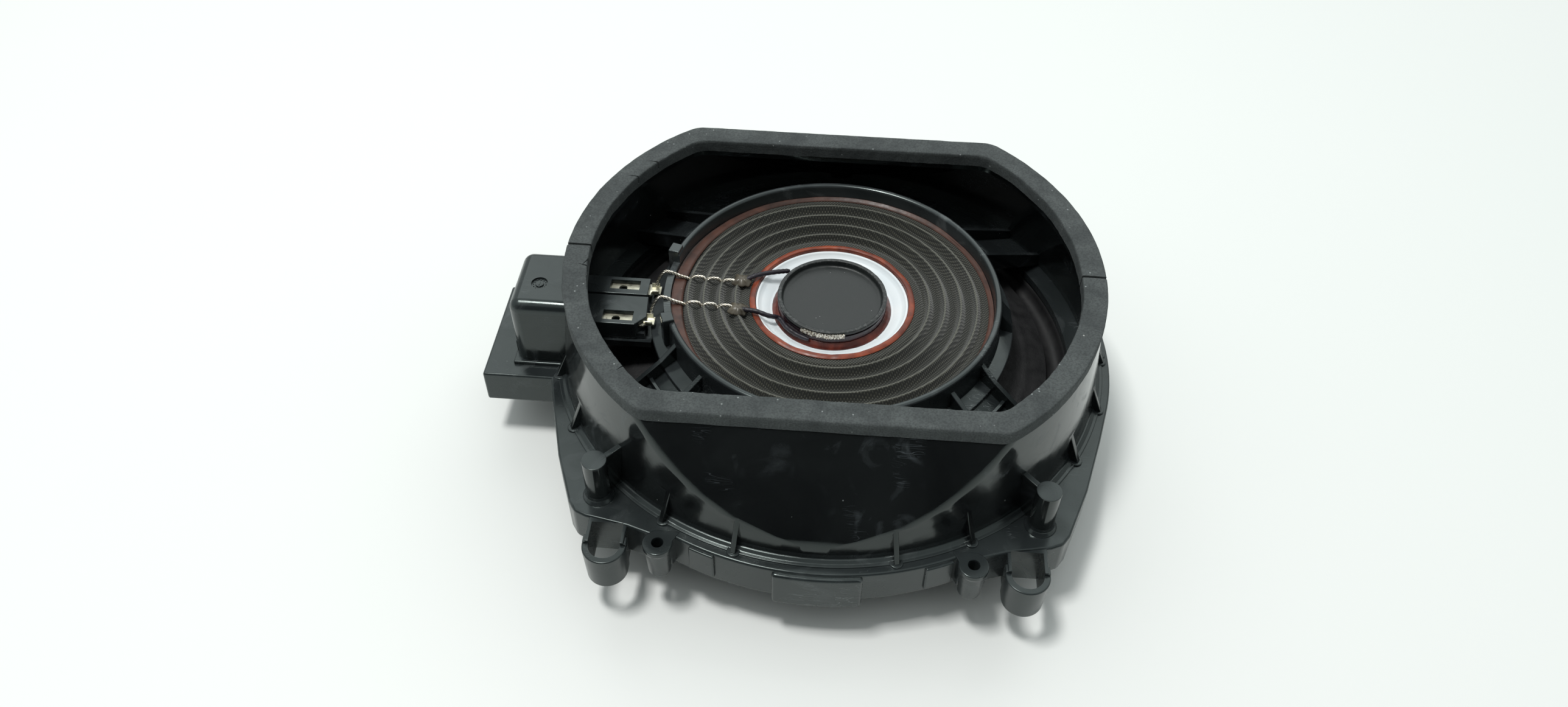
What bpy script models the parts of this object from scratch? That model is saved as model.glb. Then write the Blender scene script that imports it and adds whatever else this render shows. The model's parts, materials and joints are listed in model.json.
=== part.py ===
"""A shallow car woofer with an air duct on its back, as separate pieces.

It lies on its motor: +Z points out of the duct, the origin is the centre of the face that it rests on, and
the voice coil moves along Z. Lengths are in metres, and heights written as FLANGE + n are n above the flange.
"""

from math import asin, cos, pi, radians, sin

import bmesh
import bpy
from mathutils import Matrix, Vector

MM = 0.001
GAP = 0.3 * MM
SEGMENTS = 36
FINE_SEGMENTS = 48
SHARP_ANGLE = 35

# Flange and its skirt
FLANGE = 30.0 * MM
FLANGE_RADIUS = 103.0 * MM
FLANGE_THICK = 3.0 * MM
SKIRT_DEPTH = 14.0 * MM
SKIRT_WALL = 2.5 * MM
LANDING_RADIUS = 88.0 * MM
CORNER = [(95.9, 40.0), (89.4, 62.0), (82.0, 81.0), (79.5, 84.6), (75.5, 86.4), (61.3, 89.2), (52.5, 92.3)]
CORNER_START, CORNER_END = 13.5, 63.2

# Duct: a round wall with a slanted flat at the front and the rear
DUCT_HEIGHT = 35.2 * MM
DUCT_BASE_RADIUS = 97.6 * MM
DUCT_TOP_RADIUS = 93.8 * MM
DUCT_TOP_FLAT = 74.2 * MM
DUCT_FLAT_SLOPE = 0.82
DUCT_WALL = 2.6 * MM
DUCT_CORNER = 9.0 * MM
DUCT_CORNER_GROWTH = 22.0 * MM  # how much rounder the duct's corners are at its foot
LIP_THICK = 2.2 * MM
OPENING_RADIUS = 86.4 * MM
OPENING_FLAT = 66.2 * MM

# Foam gasket on the duct
FOAM_THICK = 5.0 * MM
FOAM_OUTER_RADIUS = 94.1 * MM
FOAM_OUTER_FLAT = 74.4 * MM
FOAM_INNER_RADIUS = 85.8 * MM
FOAM_INNER_FLAT = 65.5 * MM
FOAM_JOINT = 0.8 * MM

# Ribs, posts, hooks and bosses around the flange
GUSSET_ANGLES = (1, 15, 30, 60, 75, 105, 120, 150, 165)
GUSSET_FOOT = 100.8 * MM
GUSSET_HEIGHT = 13.0 * MM
GUSSET_THICK = 1.8 * MM
POST = (73.0 * MM, 77.5 * MM)
POST_RADIUS = 3.7 * MM
POST_HEIGHT = 18.0 * MM
HOOK = (67.6 * MM, 95.9 * MM)
HOOK_RADIUS = 7.3 * MM
HOOK_SLOT = 5.2 * MM
HOOK_DEPTH = 16.0 * MM
BOSS = (50.4 * MM, 95.0 * MM)
BOSS_RADIUS = 4.9 * MM
BOSS_HOLE = 1.7 * MM
PADS = ((-97.3, -81.3, 104.6, 16.0), (-113.0, -108.0, 104.0, 12.0), (-70.0, -64.6, 104.0, 12.0))

# Connector at the left
BASE_LEFT = -124.5 * MM
BASE_FRONT, BASE_BACK = -27.5 * MM, 19.3 * MM
BASE_DEPTH = 13.5 * MM
BOX_LEFT = -113.0 * MM
BOX_FRONT, BOX_BACK = -20.5 * MM, 9.0 * MM
BOX_HEIGHT = 29.0 * MM
BOX_ROUND = 4.0 * MM
SOCKET_FRONT, SOCKET_BACK = -18.0 * MM, 6.5 * MM
SOCKET_BOTTOM, SOCKET_TOP = 8.0 * MM, 26.0 * MM
SOCKET_END = -98.5 * MM
DIAL_RADIUS = 2.9 * MM

# Spider carrier ring, its spokes and the terminals
SPOKE_ANGLES = (37.5, 142.5, 217.5, 322.5)
SPOKE_HALF_WIDTH = 9.2 * MM
SPOKE_RIB = 2.0 * MM
ARM_TOP = FLANGE + 20.0 * MM
ARM_BOTTOM = FLANGE + 12.8 * MM
BLADE_TOP = FLANGE + 18.2 * MM
BLADE_THICK = 0.8 * MM
BLADE_WIDTH = 5.6 * MM
BLADE_Y = (2.9 * MM, -13.1 * MM)
BLADE_HOLE = (-76.6 * MM, 1.5 * MM)
WINDOW = (-81.0 * MM, -70.4 * MM, 2.2 * MM)

# Moving parts around the coil
CAP_RADIUS = 19.5 * MM
CAP_TOP = FLANGE + 24.0 * MM
FORMER_INNER, FORMER_OUTER = 18.8 * MM, 19.3 * MM
FORMER_BOTTOM = 14.6 * MM
WINDING = (19.6 * MM, 20.3 * MM, 15.0 * MM, 28.5 * MM)
SPIDER_LEVEL = FLANGE + 21.0 * MM
SPIDER_THICK = 0.6 * MM
SPIDER_RIDGE = 1.1 * MM
RIDGE_RADII = (34.8, 40.5, 46.2, 52.0)
CONE_EDGE = (80.5 * MM, 26.2 * MM)
CONE_NECK = (21.4 * MM, 40.2 * MM)
CONE_THICK = 0.8 * MM
ROLL_RADIUS = 3.8 * MM
ROLL_CENTRE = (84.3 * MM, 25.0 * MM)

# Motor and the bridge that holds it
YOKE_RADIUS, YOKE_BOTTOM, YOKE_TOP = 43.0 * MM, 4.0 * MM, 8.0 * MM
POLE_RADIUS, POLE_TOP = 18.1 * MM, 24.0 * MM
MAGNET_INNER, MAGNET_OUTER, MAGNET_TOP = 25.0 * MM, 43.8 * MM, 19.7 * MM
PLATE_BORE, PLATE_RADIUS = 21.0 * MM, 42.0 * MM
HUB_RADIUS = 47.0 * MM
BRIDGE_RING = (89.2 * MM, 99.7 * MM, 17.5 * MM, 22.0 * MM)
ARM_HALF_WIDTH = 5.5 * MM
BRIDGE_SCREWS = tuple(22.5 + 45.0 * turn for turn in range(8))
BRIDGE_SCREW_RADIUS = 96.2 * MM
MAGNET_SCREWS = (90.0, 210.0, 330.0)
MAGNET_SCREW_RADIUS = 30.0 * MM
SCREW_HEAD, SCREW_SHANK = 3.0 * MM, 1.2 * MM

COLOURS = {
    "black_plastic": ((0.012, 0.013, 0.014), 0.38, 0.0),
    "foam": ((0.035, 0.037, 0.039), 0.95, 0.0),
    "gold_contact": ((0.75, 0.68, 0.48), 0.3, 1.0),
    "spider_cloth": ((0.055, 0.052, 0.040), 0.9, 0.0),
    "red_glue": ((0.22, 0.045, 0.02), 0.35, 0.0),
    "white_plastic": ((0.72, 0.77, 0.80), 0.45, 0.0),
    "former_paper": ((0.05, 0.022, 0.012), 0.6, 0.0),
    "copper_wire": ((0.55, 0.2, 0.08), 0.35, 1.0),
    "cap_rubber": ((0.02, 0.022, 0.022), 0.6, 0.0),
    "silver_braid": ((0.7, 0.68, 0.62), 0.3, 1.0),
    "black_sleeve": ((0.012, 0.01, 0.016), 0.45, 0.0),
    "clear_glue": ((0.09, 0.075, 0.05), 0.4, 0.0),
    "cone_paper": ((0.012, 0.012, 0.013), 0.7, 0.0),
    "surround_rubber": ((0.014, 0.014, 0.015), 0.6, 0.0),
    "bridge_plastic": ((0.014, 0.015, 0.016), 0.5, 0.0),
    "plated_steel": ((0.55, 0.56, 0.56), 0.3, 1.0),
    "ferrite": ((0.04, 0.04, 0.042), 0.6, 0.0),
    "black_screw": ((0.03, 0.03, 0.03), 0.35, 1.0),
}


def material(slot):
    found = bpy.data.materials.get(slot)
    if found:
        return found
    colour, roughness, metallic = COLOURS[slot]
    made = bpy.data.materials.new(slot)
    made.use_nodes = True
    shader = made.node_tree.nodes["Principled BSDF"]
    shader.inputs["Base Color"].default_value = (*colour, 1.0)
    shader.inputs["Roughness"].default_value = roughness
    shader.inputs["Metallic"].default_value = metallic
    made.diffuse_color = (*colour, 1.0)
    return made


def shaded(data):
    data.shade_smooth()
    data.set_sharp_from_angle(angle=radians(SHARP_ANGLE))


def finished(name, mesh, slot):
    """The object made from this bmesh, with its faces turned outwards."""
    bmesh.ops.recalc_face_normals(mesh, faces=mesh.faces)
    data = bpy.data.meshes.new(name)
    mesh.to_mesh(data)
    mesh.free()
    made = bpy.data.objects.new(name, data)
    bpy.context.scene.collection.objects.link(made)
    data.materials.append(material(slot))
    shaded(data)
    return made


def spot(radius, angle):
    return (radius * cos(radians(angle)), radius * sin(radians(angle)))


def bridged(mesh, rings):
    """Joins each ring of points to the next, and the last to the first. A ring may be a single point."""
    for here, there in zip(rings, rings[1:] + rings[:1]):
        count = max(len(here), len(there))
        if count == 1:
            continue
        for step in range(count):
            after = (step + 1) % count
            corners = [here[step % len(here)], here[after % len(here)],
                       there[after % len(there)], there[step % len(there)]]
            mesh.faces.new(list(dict.fromkeys(corners)))


def turned(name, outline, slot="black_plastic", segments=SEGMENTS, centre=(0.0, 0.0)):
    """A solid turned about a vertical axis from a closed outline of (radius, height) points."""
    mesh = bmesh.new()
    rings = []
    for radius, height in outline:
        steps = segments if radius > 0 else 1
        rings.append([
            mesh.verts.new((centre[0] + radius * cos(2 * pi * step / steps),
                            centre[1] + radius * sin(2 * pi * step / steps), height))
            for step in range(steps)])
    bridged(mesh, rings)
    return finished(name, mesh, slot)


def lofted(name, sections, slot="black_plastic"):
    """A solid through flat sections with the same number of points, closed at both ends."""
    mesh = bmesh.new()
    rings = [[mesh.verts.new(point) for point in section] for section in sections]
    for here, there in zip(rings, rings[1:]):
        for step in range(len(here)):
            after = (step + 1) % len(here)
            mesh.faces.new((here[step], here[after], there[after], there[step]))
    mesh.faces.new(rings[0])
    mesh.faces.new(rings[-1])
    bmesh.ops.triangulate(mesh, faces=[face for face in mesh.faces if len(face.verts) == 4])
    return finished(name, mesh, slot)


def prism(name, outline, bottom, top, slot="black_plastic"):
    """A flat outline of (x, y) points drawn up from one height to another."""
    return lofted(name, [[(x, y, height) for x, y in outline] for height in (bottom, top)], slot)


def block(name, low, high, slot="black_plastic", rounding=0.0, upright_only=False):
    """A box between two corners. Its edges can be rounded, all of them or only the upright ones."""
    mesh = bmesh.new()
    size = Vector(high) - Vector(low)
    place = Matrix.Translation((Vector(low) + Vector(high)) / 2) @ Matrix.Diagonal((*size, 1.0))
    bmesh.ops.create_cube(mesh, size=1.0, matrix=place)
    if rounding:
        edges = [edge for edge in mesh.edges
                 if not upright_only or abs(edge.verts[0].co.z - edge.verts[1].co.z) > size.z / 2]
        bmesh.ops.bevel(mesh, geom=edges, offset=rounding, segments=3, profile=0.5, affect="EDGES")
    return finished(name, mesh, slot)


def fin(name, outline, half_thick, angle, slot="black_plastic"):
    """A plate with an outline of (radius, height) points that stands on a ray from the axis."""
    turn = Matrix.Rotation(radians(angle), 3, "Z")
    sides = [[turn @ Vector((radius, side, height)) for radius, height in outline]
             for side in (-half_thick, half_thick)]
    return lofted(name, sides, slot)


def sector(name, inner, outer, start, end, bottom, top, slot="black_plastic", steps=6):
    """A piece of a flat ring between two angles in degrees."""
    angles = [radians(start + (end - start) * step / steps) for step in range(steps + 1)]
    outline = [(outer * cos(a), outer * sin(a)) for a in angles]
    outline += [(inner * cos(a), inner * sin(a)) for a in reversed(angles)]
    return prism(name, outline, bottom, top, slot)


def cut_with(target, tool, operation="DIFFERENCE"):
    """Applies one Boolean to the target and removes the tool."""
    step = target.modifiers.new(tool.name, "BOOLEAN")
    step.object = tool
    step.operation = operation
    step.solver = "EXACT"
    graph = bpy.context.evaluated_depsgraph_get()
    result = bpy.data.meshes.new_from_object(target.evaluated_get(graph), depsgraph=graph)
    target.modifiers.clear()
    target.data = result
    bpy.data.objects.remove(tool)
    return target


def joined(target, *tools):
    for tool in tools:
        cut_with(target, tool, "UNION")
    return target


def flatted_circle(radius, flat, corner, height, arc_steps=10, corner_steps=2):
    """A circle cut by a front and a rear line at y = -flat and +flat, with rounded corners between."""
    lean = asin(min((flat - corner) / (radius - corner), sin(radians(87))))
    arc = [-lean + 2 * lean * step / arc_steps for step in range(arc_steps + 1)]
    right = [(radius * cos(a), radius * sin(a)) for a in arc]
    centre = ((radius - corner) * cos(lean), (radius - corner) * sin(lean))
    for step in range(1, corner_steps + 1):
        turn = lean + (pi / 2 - lean) * step / corner_steps
        right.append((centre[0] + corner * cos(turn), centre[1] + corner * sin(turn)))
    lower = [(x, -y) for x, y in reversed(right[arc_steps + 1:])]
    half = lower + right
    return [(x, y, height) for x, y in half] + [(-x, -y, height) for x, y in half]


def duct_section(rise, inset):
    """The duct's outline at this height above the flange, moved in by a wall's thickness."""
    radius = DUCT_BASE_RADIUS - (DUCT_BASE_RADIUS - DUCT_TOP_RADIUS) * rise / DUCT_HEIGHT - inset
    steepness = (1 + DUCT_FLAT_SLOPE ** 2) ** 0.5
    flat = DUCT_TOP_FLAT + (DUCT_HEIGHT - rise) * DUCT_FLAT_SLOPE - inset * steepness
    corner = DUCT_CORNER + DUCT_CORNER_GROWTH * (1 - rise / DUCT_HEIGHT) - inset
    return flatted_circle(radius, flat, corner, FLANGE + rise)


CORNERS = ((1, 1), (-1, 1), (1, -1), (-1, -1))


def flange_outline(wall):
    """The flange's edge: four arcs with an angular corner between each two, moved in by a wall."""
    radius = FLANGE_RADIUS / MM
    quarter = [spot(radius, CORNER_START * step / 3) for step in range(4)]
    quarter += CORNER
    quarter += [spot(radius, CORNER_END + (90 - CORNER_END) * step / 5) for step in range(6)]
    upper = quarter + [(-x, y) for x, y in reversed(quarter[:-1])]
    outline = upper + [(x, -y) for x, y in reversed(upper[1:-1])]
    scale = (FLANGE_RADIUS - wall) / radius
    return [(x * scale, y * scale) for x, y in outline]


def hook(flip_x, flip_y):
    """A tall half tube that stands off the flange's edge, with a slot through it."""
    x, y = HOOK[0] * flip_x, HOOK[1] * flip_y
    root = 84.0 * MM * flip_y
    bottom = FLANGE - HOOK_DEPTH

    def ear(radius, inner_end, top, low=bottom):
        turns = [pi * step / 7 for step in range(8)]
        outline = [(x + radius * cos(t), y + radius * sin(t) * flip_y) for t in turns]
        return prism("ear", [(x + radius, inner_end), *outline, (x - radius, inner_end)], low, top)

    solid = ear(HOOK_RADIUS, 93.0 * MM * flip_y, FLANGE - 1.8 * MM)
    thin = HOOK_RADIUS - 0.7 * MM
    arms = [(x - thin, root), (x + thin, root), (x + thin, y), (x - thin, y)]
    joined(solid, prism("arms", arms, bottom + MM, FLANGE - 0.4 * MM))
    slot = ear(HOOK_SLOT, 88.3 * MM * flip_y, FLANGE + 5 * MM, bottom - 5 * MM)
    return solid, slot


def basket():
    """The moulded frame: duct, flange, skirt, carrier ring, spokes, hooks and connector in one piece."""
    rises = [-0.5 * MM, 3 * MM, 9 * MM, 18 * MM, DUCT_HEIGHT]
    body = lofted("basket", [duct_section(rise, 0.0) for rise in rises])
    joined(body, prism("flange", flange_outline(0.0), FLANGE - SKIRT_DEPTH, FLANGE))
    foot = DUCT_BASE_RADIUS + 1.6 * MM
    joined(body, turned("foot", [(90 * MM, FLANGE - MM), (foot, FLANGE - MM), (foot, FLANGE + 0.6 * MM),
                                 (DUCT_BASE_RADIUS - MM, FLANGE + 2 * MM), (90 * MM, FLANGE + 2 * MM)],
                        segments=FINE_SEGMENTS))
    for side in (-1, 1):
        for angle in GUSSET_ANGLES:
            wedge = [(91.3 * MM, FLANGE - 1.3 * MM), (GUSSET_FOOT, FLANGE - 1.3 * MM),
                     (GUSSET_FOOT, FLANGE + 0.7 * MM), (95.4 * MM, FLANGE + GUSSET_HEIGHT),
                     (91.3 * MM, FLANGE + GUSSET_HEIGHT)]
            joined(body, fin("gusset", wedge, GUSSET_THICK / 2, side * angle))
    slots = []
    for flip_x, flip_y in CORNERS:
        x, y = POST[0] * flip_x, POST[1] * flip_y
        top = FLANGE + POST_HEIGHT
        joined(body, turned("post", [(0, FLANGE - MM), (POST_RADIUS, FLANGE - MM), (POST_RADIUS, top), (0, top)],
                            segments=12, centre=(x, y)))
        along = Vector((x, y)).normalized()
        across = Vector((-along.y, along.x)) * MM
        ends = [Vector((x, y)), along * 88 * MM]
        web = [ends[0] + across, ends[1] + across, ends[1] - across, ends[0] - across]
        joined(body, prism("web", [tuple(point) for point in web], FLANGE - MM, top - 1.2 * MM))
        solid, slot = hook(flip_x, flip_y)
        joined(body, solid)
        slots.append(slot)
        x, y = BOSS[0] * flip_x, BOSS[1] * flip_y
        low = FLANGE - SKIRT_DEPTH
        joined(body, turned("boss", [(0, low), (BOSS_RADIUS - 1.2 * MM, low), (BOSS_RADIUS, FLANGE - 2 * MM),
                                     (BOSS_RADIUS, FLANGE), (0, FLANGE)], segments=16, centre=(x, y)))
        neck = [(x - 4.2 * MM, y), (x + 4.2 * MM, y), (x * 0.95 + 4.2 * MM, y * 0.95),
                (x * 0.95 - 4.2 * MM, y * 0.95)]
        joined(body, prism("neck", neck, low + 2 * MM, FLANGE))
        slots.append(turned("boss_hole", [(0, low - MM), (BOSS_HOLE, low - MM), (BOSS_HOLE, FLANGE + MM),
                                          (0, FLANGE + MM)], segments=10, centre=(x, y)))
    for flip in (1, -1):
        for start, end, reach, depth in PADS:
            joined(body, sector("pad", 98 * MM, reach * MM, start * flip, end * flip,
                                FLANGE - depth * MM, FLANGE - 0.8 * MM, steps=3))
    connector_outside(body)

    cut_with(body, lofted("cavity", [duct_section(rise, DUCT_WALL) for rise in
                                     [0.0, 3 * MM, 9 * MM, 18 * MM, DUCT_HEIGHT - LIP_THICK]]))
    mouth = [flatted_circle(OPENING_RADIUS, OPENING_FLAT, DUCT_CORNER, FLANGE + rise)
             for rise in (DUCT_HEIGHT - LIP_THICK - MM, DUCT_HEIGHT + MM)]
    cut_with(body, lofted("mouth", mouth))
    low, high = FLANGE - 20 * MM, FLANGE - FLANGE_THICK
    cut_with(body, prism("skirt_room", flange_outline(SKIRT_WALL), low, high))
    hole = [(0, high - MM), (LANDING_RADIUS, high - MM), (LANDING_RADIUS, FLANGE + MM), (0, FLANGE + MM)]
    cut_with(body, turned("landing_hole", hole, segments=FINE_SEGMENTS))
    for slot in slots:
        cut_with(body, slot)
    connector_inside(body)
    carrier_ring(body)
    for angle in BRIDGE_SCREWS:
        place = spot(BRIDGE_SCREW_RADIUS, angle)
        low = BRIDGE_RING[3] + GAP
        joined(body, turned("pillar", [(0, low), (3.2 * MM, low), (3.2 * MM, FLANGE - 2 * MM),
                                       (0, FLANGE - 2 * MM)], segments=10, centre=place))
        cut_with(body, turned("pillar_hole", [(0, low - MM), (1.5 * MM, low - MM), (1.5 * MM, FLANGE - 1.6 * MM),
                                              (0, FLANGE - 1.6 * MM)], segments=8, centre=place))
    body.data.materials.clear()
    body.data.materials.append(material("black_plastic"))
    shaded(body.data)
    return body


def connector_outside(body):
    """The tray at the left and the rounded connector hood that stands on it."""
    joined(body, block("base", (BASE_LEFT, BASE_FRONT, FLANGE - BASE_DEPTH), (-98 * MM, BASE_BACK, FLANGE)))
    hood = block("hood", (BOX_LEFT, BOX_FRONT, FLANGE - 6 * MM), (-80 * MM, BOX_BACK, FLANGE + BOX_HEIGHT),
                 rounding=BOX_ROUND)
    joined(body, hood)
    ledge = 1.2 * MM
    joined(body, block("ledge", (BOX_LEFT - ledge, BOX_FRONT - ledge, FLANGE - MM),
                       (-96 * MM, BOX_BACK + ledge, FLANGE + 1.4 * MM)))
    joined(body, block("latch", (BOX_LEFT - 2.2 * MM, -11 * MM, FLANGE + 4.2 * MM),
                       (BOX_LEFT + MM, 0.0, FLANGE + 7 * MM)))


def connector_inside(body):
    """The tray's hollow, the plug's socket, the contacts' slits and the date dial."""
    wall = 2.2 * MM
    cut_with(body, block("tray_room", (BASE_LEFT + wall, BASE_FRONT + wall, FLANGE - 20 * MM),
                         (-106.5 * MM, BASE_BACK - wall, FLANGE - FLANGE_THICK)))
    cut_with(body, block("socket", (BOX_LEFT - 6 * MM, SOCKET_FRONT, FLANGE + SOCKET_BOTTOM),
                         (SOCKET_END, SOCKET_BACK, FLANGE + SOCKET_TOP), rounding=1.5 * MM))
    for y in BLADE_Y:
        reach = BLADE_WIDTH / 2 + GAP
        cut_with(body, block("slit", (SOCKET_END - MM, y - reach, BLADE_TOP - BLADE_THICK - GAP),
                             (-90 * MM, y + reach, BLADE_TOP + GAP)))
    dial = FLANGE + BOX_HEIGHT
    cut_with(body, turned("dial", [(0, dial - 0.8 * MM), (DIAL_RADIUS, dial - 0.8 * MM), (DIAL_RADIUS, dial + MM),
                                   (0, dial + MM)], segments=20, centre=(-103.7 * MM, -8.6 * MM)))


def carrier_ring(body):
    """The ring that holds the spider, its four spokes and the shelf under the terminals."""
    rim = [(52.5, 20.4), (57.9, 20.4), (57.9, 27.2), (58.5, 27.7), (59.5, 27.7), (60.1, 27.2), (60.6, 17.0),
           (65.5, 15.5), (65.5, 13.5), (59.5, 14.3), (58.2, 18.0), (52.5, 18.2)]
    ring = turned("ring", [(r * MM, FLANGE + z * MM) for r, z in rim])
    for start, end in ((198.5, 203.0), (163.5, 168.0)):
        joined(ring, sector("lug", 58.2 * MM, 62.3 * MM, start, end, FLANGE + 17 * MM, FLANGE + 29 * MM, steps=2))
    cut_with(ring, sector("notch", 56 * MM, 66 * MM, 168, 198.5, FLANGE + 24 * MM, FLANGE + 32 * MM))
    for angle in SPOKE_ANGLES:
        floor = [(61 * MM, FLANGE + 15.4 * MM), (61 * MM, FLANGE + 13.4 * MM), (96.2 * MM, FLANGE - 1.2 * MM),
                 (96.2 * MM, FLANGE + 1.2 * MM)]
        joined(ring, fin("spoke", floor, SPOKE_HALF_WIDTH, angle))
        turn = Matrix.Rotation(radians(angle), 3, "Z")
        for side in (-1, 1):
            inner = side * (SPOKE_HALF_WIDTH - SPOKE_RIB + 0.4 * MM)
            outer = side * (SPOKE_HALF_WIDTH + 0.4 * MM)
            rib = [(59.1 * MM, FLANGE + 24 * MM), (59.1 * MM, FLANGE + 14.6 * MM), (95.9 * MM, FLANGE - 0.4 * MM),
                   (95.9 * MM, FLANGE + 5 * MM), (66 * MM, FLANGE + 19 * MM)]
            sides = [[turn @ Vector((r, y, z)) for r, z in rib] for y in (inner, outer)]
            joined(ring, lofted("rib", sides))
    joined(ring, fin("stay", [(59.5 * MM, FLANGE + 14 * MM), (65.3 * MM, FLANGE + 14 * MM),
                              (64.5 * MM, FLANGE + 19 * MM), (59.5 * MM, FLANGE + 25 * MM)], 4.2 * MM, -1.0))
    shelf = [(-96.0, -18.5), (-63.5, -18.5), (-63.5, 8.5), (-96.0, 8.5)]
    joined(ring, prism("shelf", [(x * MM, y * MM) for x, y in shelf], FLANGE + 10 * MM, ARM_BOTTOM - GAP))
    joined(body, ring)


def foam(name, side):
    """Half of the foam strip that seals the duct, with a butt joint at its left and right ends."""
    bottom = FLANGE + DUCT_HEIGHT + GAP
    outer = [(x, y) for x, y, _ in flatted_circle(FOAM_OUTER_RADIUS, FOAM_OUTER_FLAT, DUCT_CORNER, 0.0)]
    inner = [(x, y) for x, y, _ in flatted_circle(FOAM_INNER_RADIUS, FOAM_INNER_FLAT, DUCT_CORNER - MM, 0.0)]
    strip = prism(name, outer, bottom, bottom + FOAM_THICK, "foam")
    cut_with(strip, prism("inside", inner, bottom - MM, bottom + 2 * FOAM_THICK, "foam"))
    reach = 120 * MM
    half = sorted((side * FOAM_JOINT / 2, -side * reach))
    cut_with(strip, block("half", (-reach, half[0], bottom - MM), (reach, half[1], bottom + 2 * FOAM_THICK), "foam"))
    return strip


def terminal_carrier():
    """Two black arms side by side from the duct's wall to the carrier ring, with a window over each blade."""
    upper = [(-90.3, -1.9), (-66.8, -1.9), (-66.8, 7.0), (-90.3, 7.0)]
    lower = [(-90.3, -17.4), (-69.2, -17.4), (-65.4, -13.0), (-66.2, -2.7), (-90.3, -2.7)]
    scale = [[(x * MM, y * MM) for x, y in arm] for arm in (upper, lower)]
    body = prism("terminal_carrier", scale[0], ARM_BOTTOM, ARM_TOP)
    joined(body, prism("lower_arm", scale[1], ARM_BOTTOM, ARM_TOP))
    joined(body, block("floor", (-90.3 * MM, -17.0 * MM, ARM_BOTTOM), (-66.0 * MM, 6.6 * MM, ARM_BOTTOM + 2.4 * MM)))
    for y in BLADE_Y:
        reach = BLADE_WIDTH / 2 + GAP
        cut_with(body, block("channel", (-95 * MM, y - reach, BLADE_TOP - BLADE_THICK - GAP),
                             (-60 * MM, y + reach, BLADE_TOP + GAP)))
        cut_with(body, block("window", (WINDOW[0], y - WINDOW[2], BLADE_TOP - 2 * MM),
                             (WINDOW[1], y + WINDOW[2], ARM_TOP + MM)))
    return body


def contact(name, y):
    """A flat blade that runs from the socket to the lead's tag, with a round hole in it."""
    bottom = BLADE_TOP - BLADE_THICK
    half = BLADE_WIDTH / 2
    blade = block(name, (-110 * MM, y - half, bottom), (-62.6 * MM, y + half, BLADE_TOP), "gold_contact")
    tip = [(-111 * MM, y - half - MM), (-107 * MM, y - half - MM), (-111 * MM, y - 0.6 * MM)]
    for side in (1, -1):
        corner = [(px, y + side * (py - y)) for px, py in tip]
        cut_with(blade, prism("tip", corner, bottom - MM, BLADE_TOP + MM, "gold_contact"))
    cut_with(blade, turned("eye", [(0, bottom - MM), (BLADE_HOLE[1], bottom - MM), (BLADE_HOLE[1], BLADE_TOP + MM),
                                   (0, BLADE_TOP + MM)], "gold_contact", 16, (BLADE_HOLE[0], y)))
    return blade


def spider():
    """Corrugated cloth between the carrier ring and the coil."""
    centre = [(29.0, 0.0), (32.0, 0.0)]
    pitch = RIDGE_RADII[1] - RIDGE_RADII[0]
    for radius in RIDGE_RADII:
        centre += [(radius, 1.0), (radius + pitch / 2, -1.0)]
    centre[-1] = (54.4, -0.2)
    centre.append((57.3, 0.0))
    line = [(r * MM, SPIDER_LEVEL + lift * SPIDER_RIDGE) for r, lift in centre]
    half = SPIDER_THICK / 2
    outline = [(r, z + half) for r, z in line] + [(r, z - half) for r, z in reversed(line)]
    return turned("spider", outline, "spider_cloth")


def glue_beads():
    top = SPIDER_LEVEL + SPIDER_THICK / 2 + GAP
    outer = [(54.9 * MM, top), (57.5 * MM, top), (57.5 * MM, top + 1.2 * MM), (56.4 * MM, top + 0.9 * MM)]
    turned("spider_outer_glue", outer, "red_glue")
    inner = [(27.8 * MM, SPIDER_LEVEL - MM), (28.6 * MM, SPIDER_LEVEL - MM), (28.6 * MM, top),
             (29.8 * MM, top), (29.3 * MM, top + 0.5 * MM), (27.8 * MM, top + 0.7 * MM)]
    turned("spider_inner_glue", inner, "red_glue")
    low = FLANGE + 16.9 * MM
    fillet = [(19.6 * MM, low + GAP), (21.4 * MM, low + 1.1 * MM), (20.8 * MM, low + 1.5 * MM),
              (19.6 * MM, low + 2.6 * MM)]
    turned("former_glue_fillet", fillet, "red_glue")


def coupler_ring():
    """The white dish that widens the coil former to the spider and to the cone."""
    outline = [(19.6, 8.0), (21.0, 8.0), (21.0, 14.8), (27.0, 18.2), (27.4, 20.6), (26.8, 20.6), (26.0, 19.4),
               (22.6, 17.2), (19.6, 16.6)]
    return turned("coupler_ring", [(r * MM, FLANGE + z * MM) for r, z in outline], "white_plastic")


def voice_coil():
    top = CAP_TOP - 2.0 * MM - GAP
    turned("voice_coil_former", [(FORMER_INNER, FORMER_BOTTOM), (FORMER_OUTER, FORMER_BOTTOM),
                                 (FORMER_OUTER, top), (FORMER_INNER, top)], "former_paper")
    inner, outer, low, high = WINDING
    turned("voice_coil_winding", [(inner, low), (outer, low), (outer, high), (inner, high)], "copper_wire")
    rim = CAP_RADIUS - 1.7 * MM
    face = CAP_TOP - 1.7 * MM
    lip = CAP_TOP - 2 * MM
    turned("coil_cap", [(0, lip - 1.4 * MM), (18.4 * MM, lip - 1.4 * MM), (18.4 * MM, lip), (CAP_RADIUS, lip),
                        (CAP_RADIUS, CAP_TOP), (rim, CAP_TOP), (rim, face - 0.2 * MM), (0, face + 0.2 * MM)],
           "cap_rubber")


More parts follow.
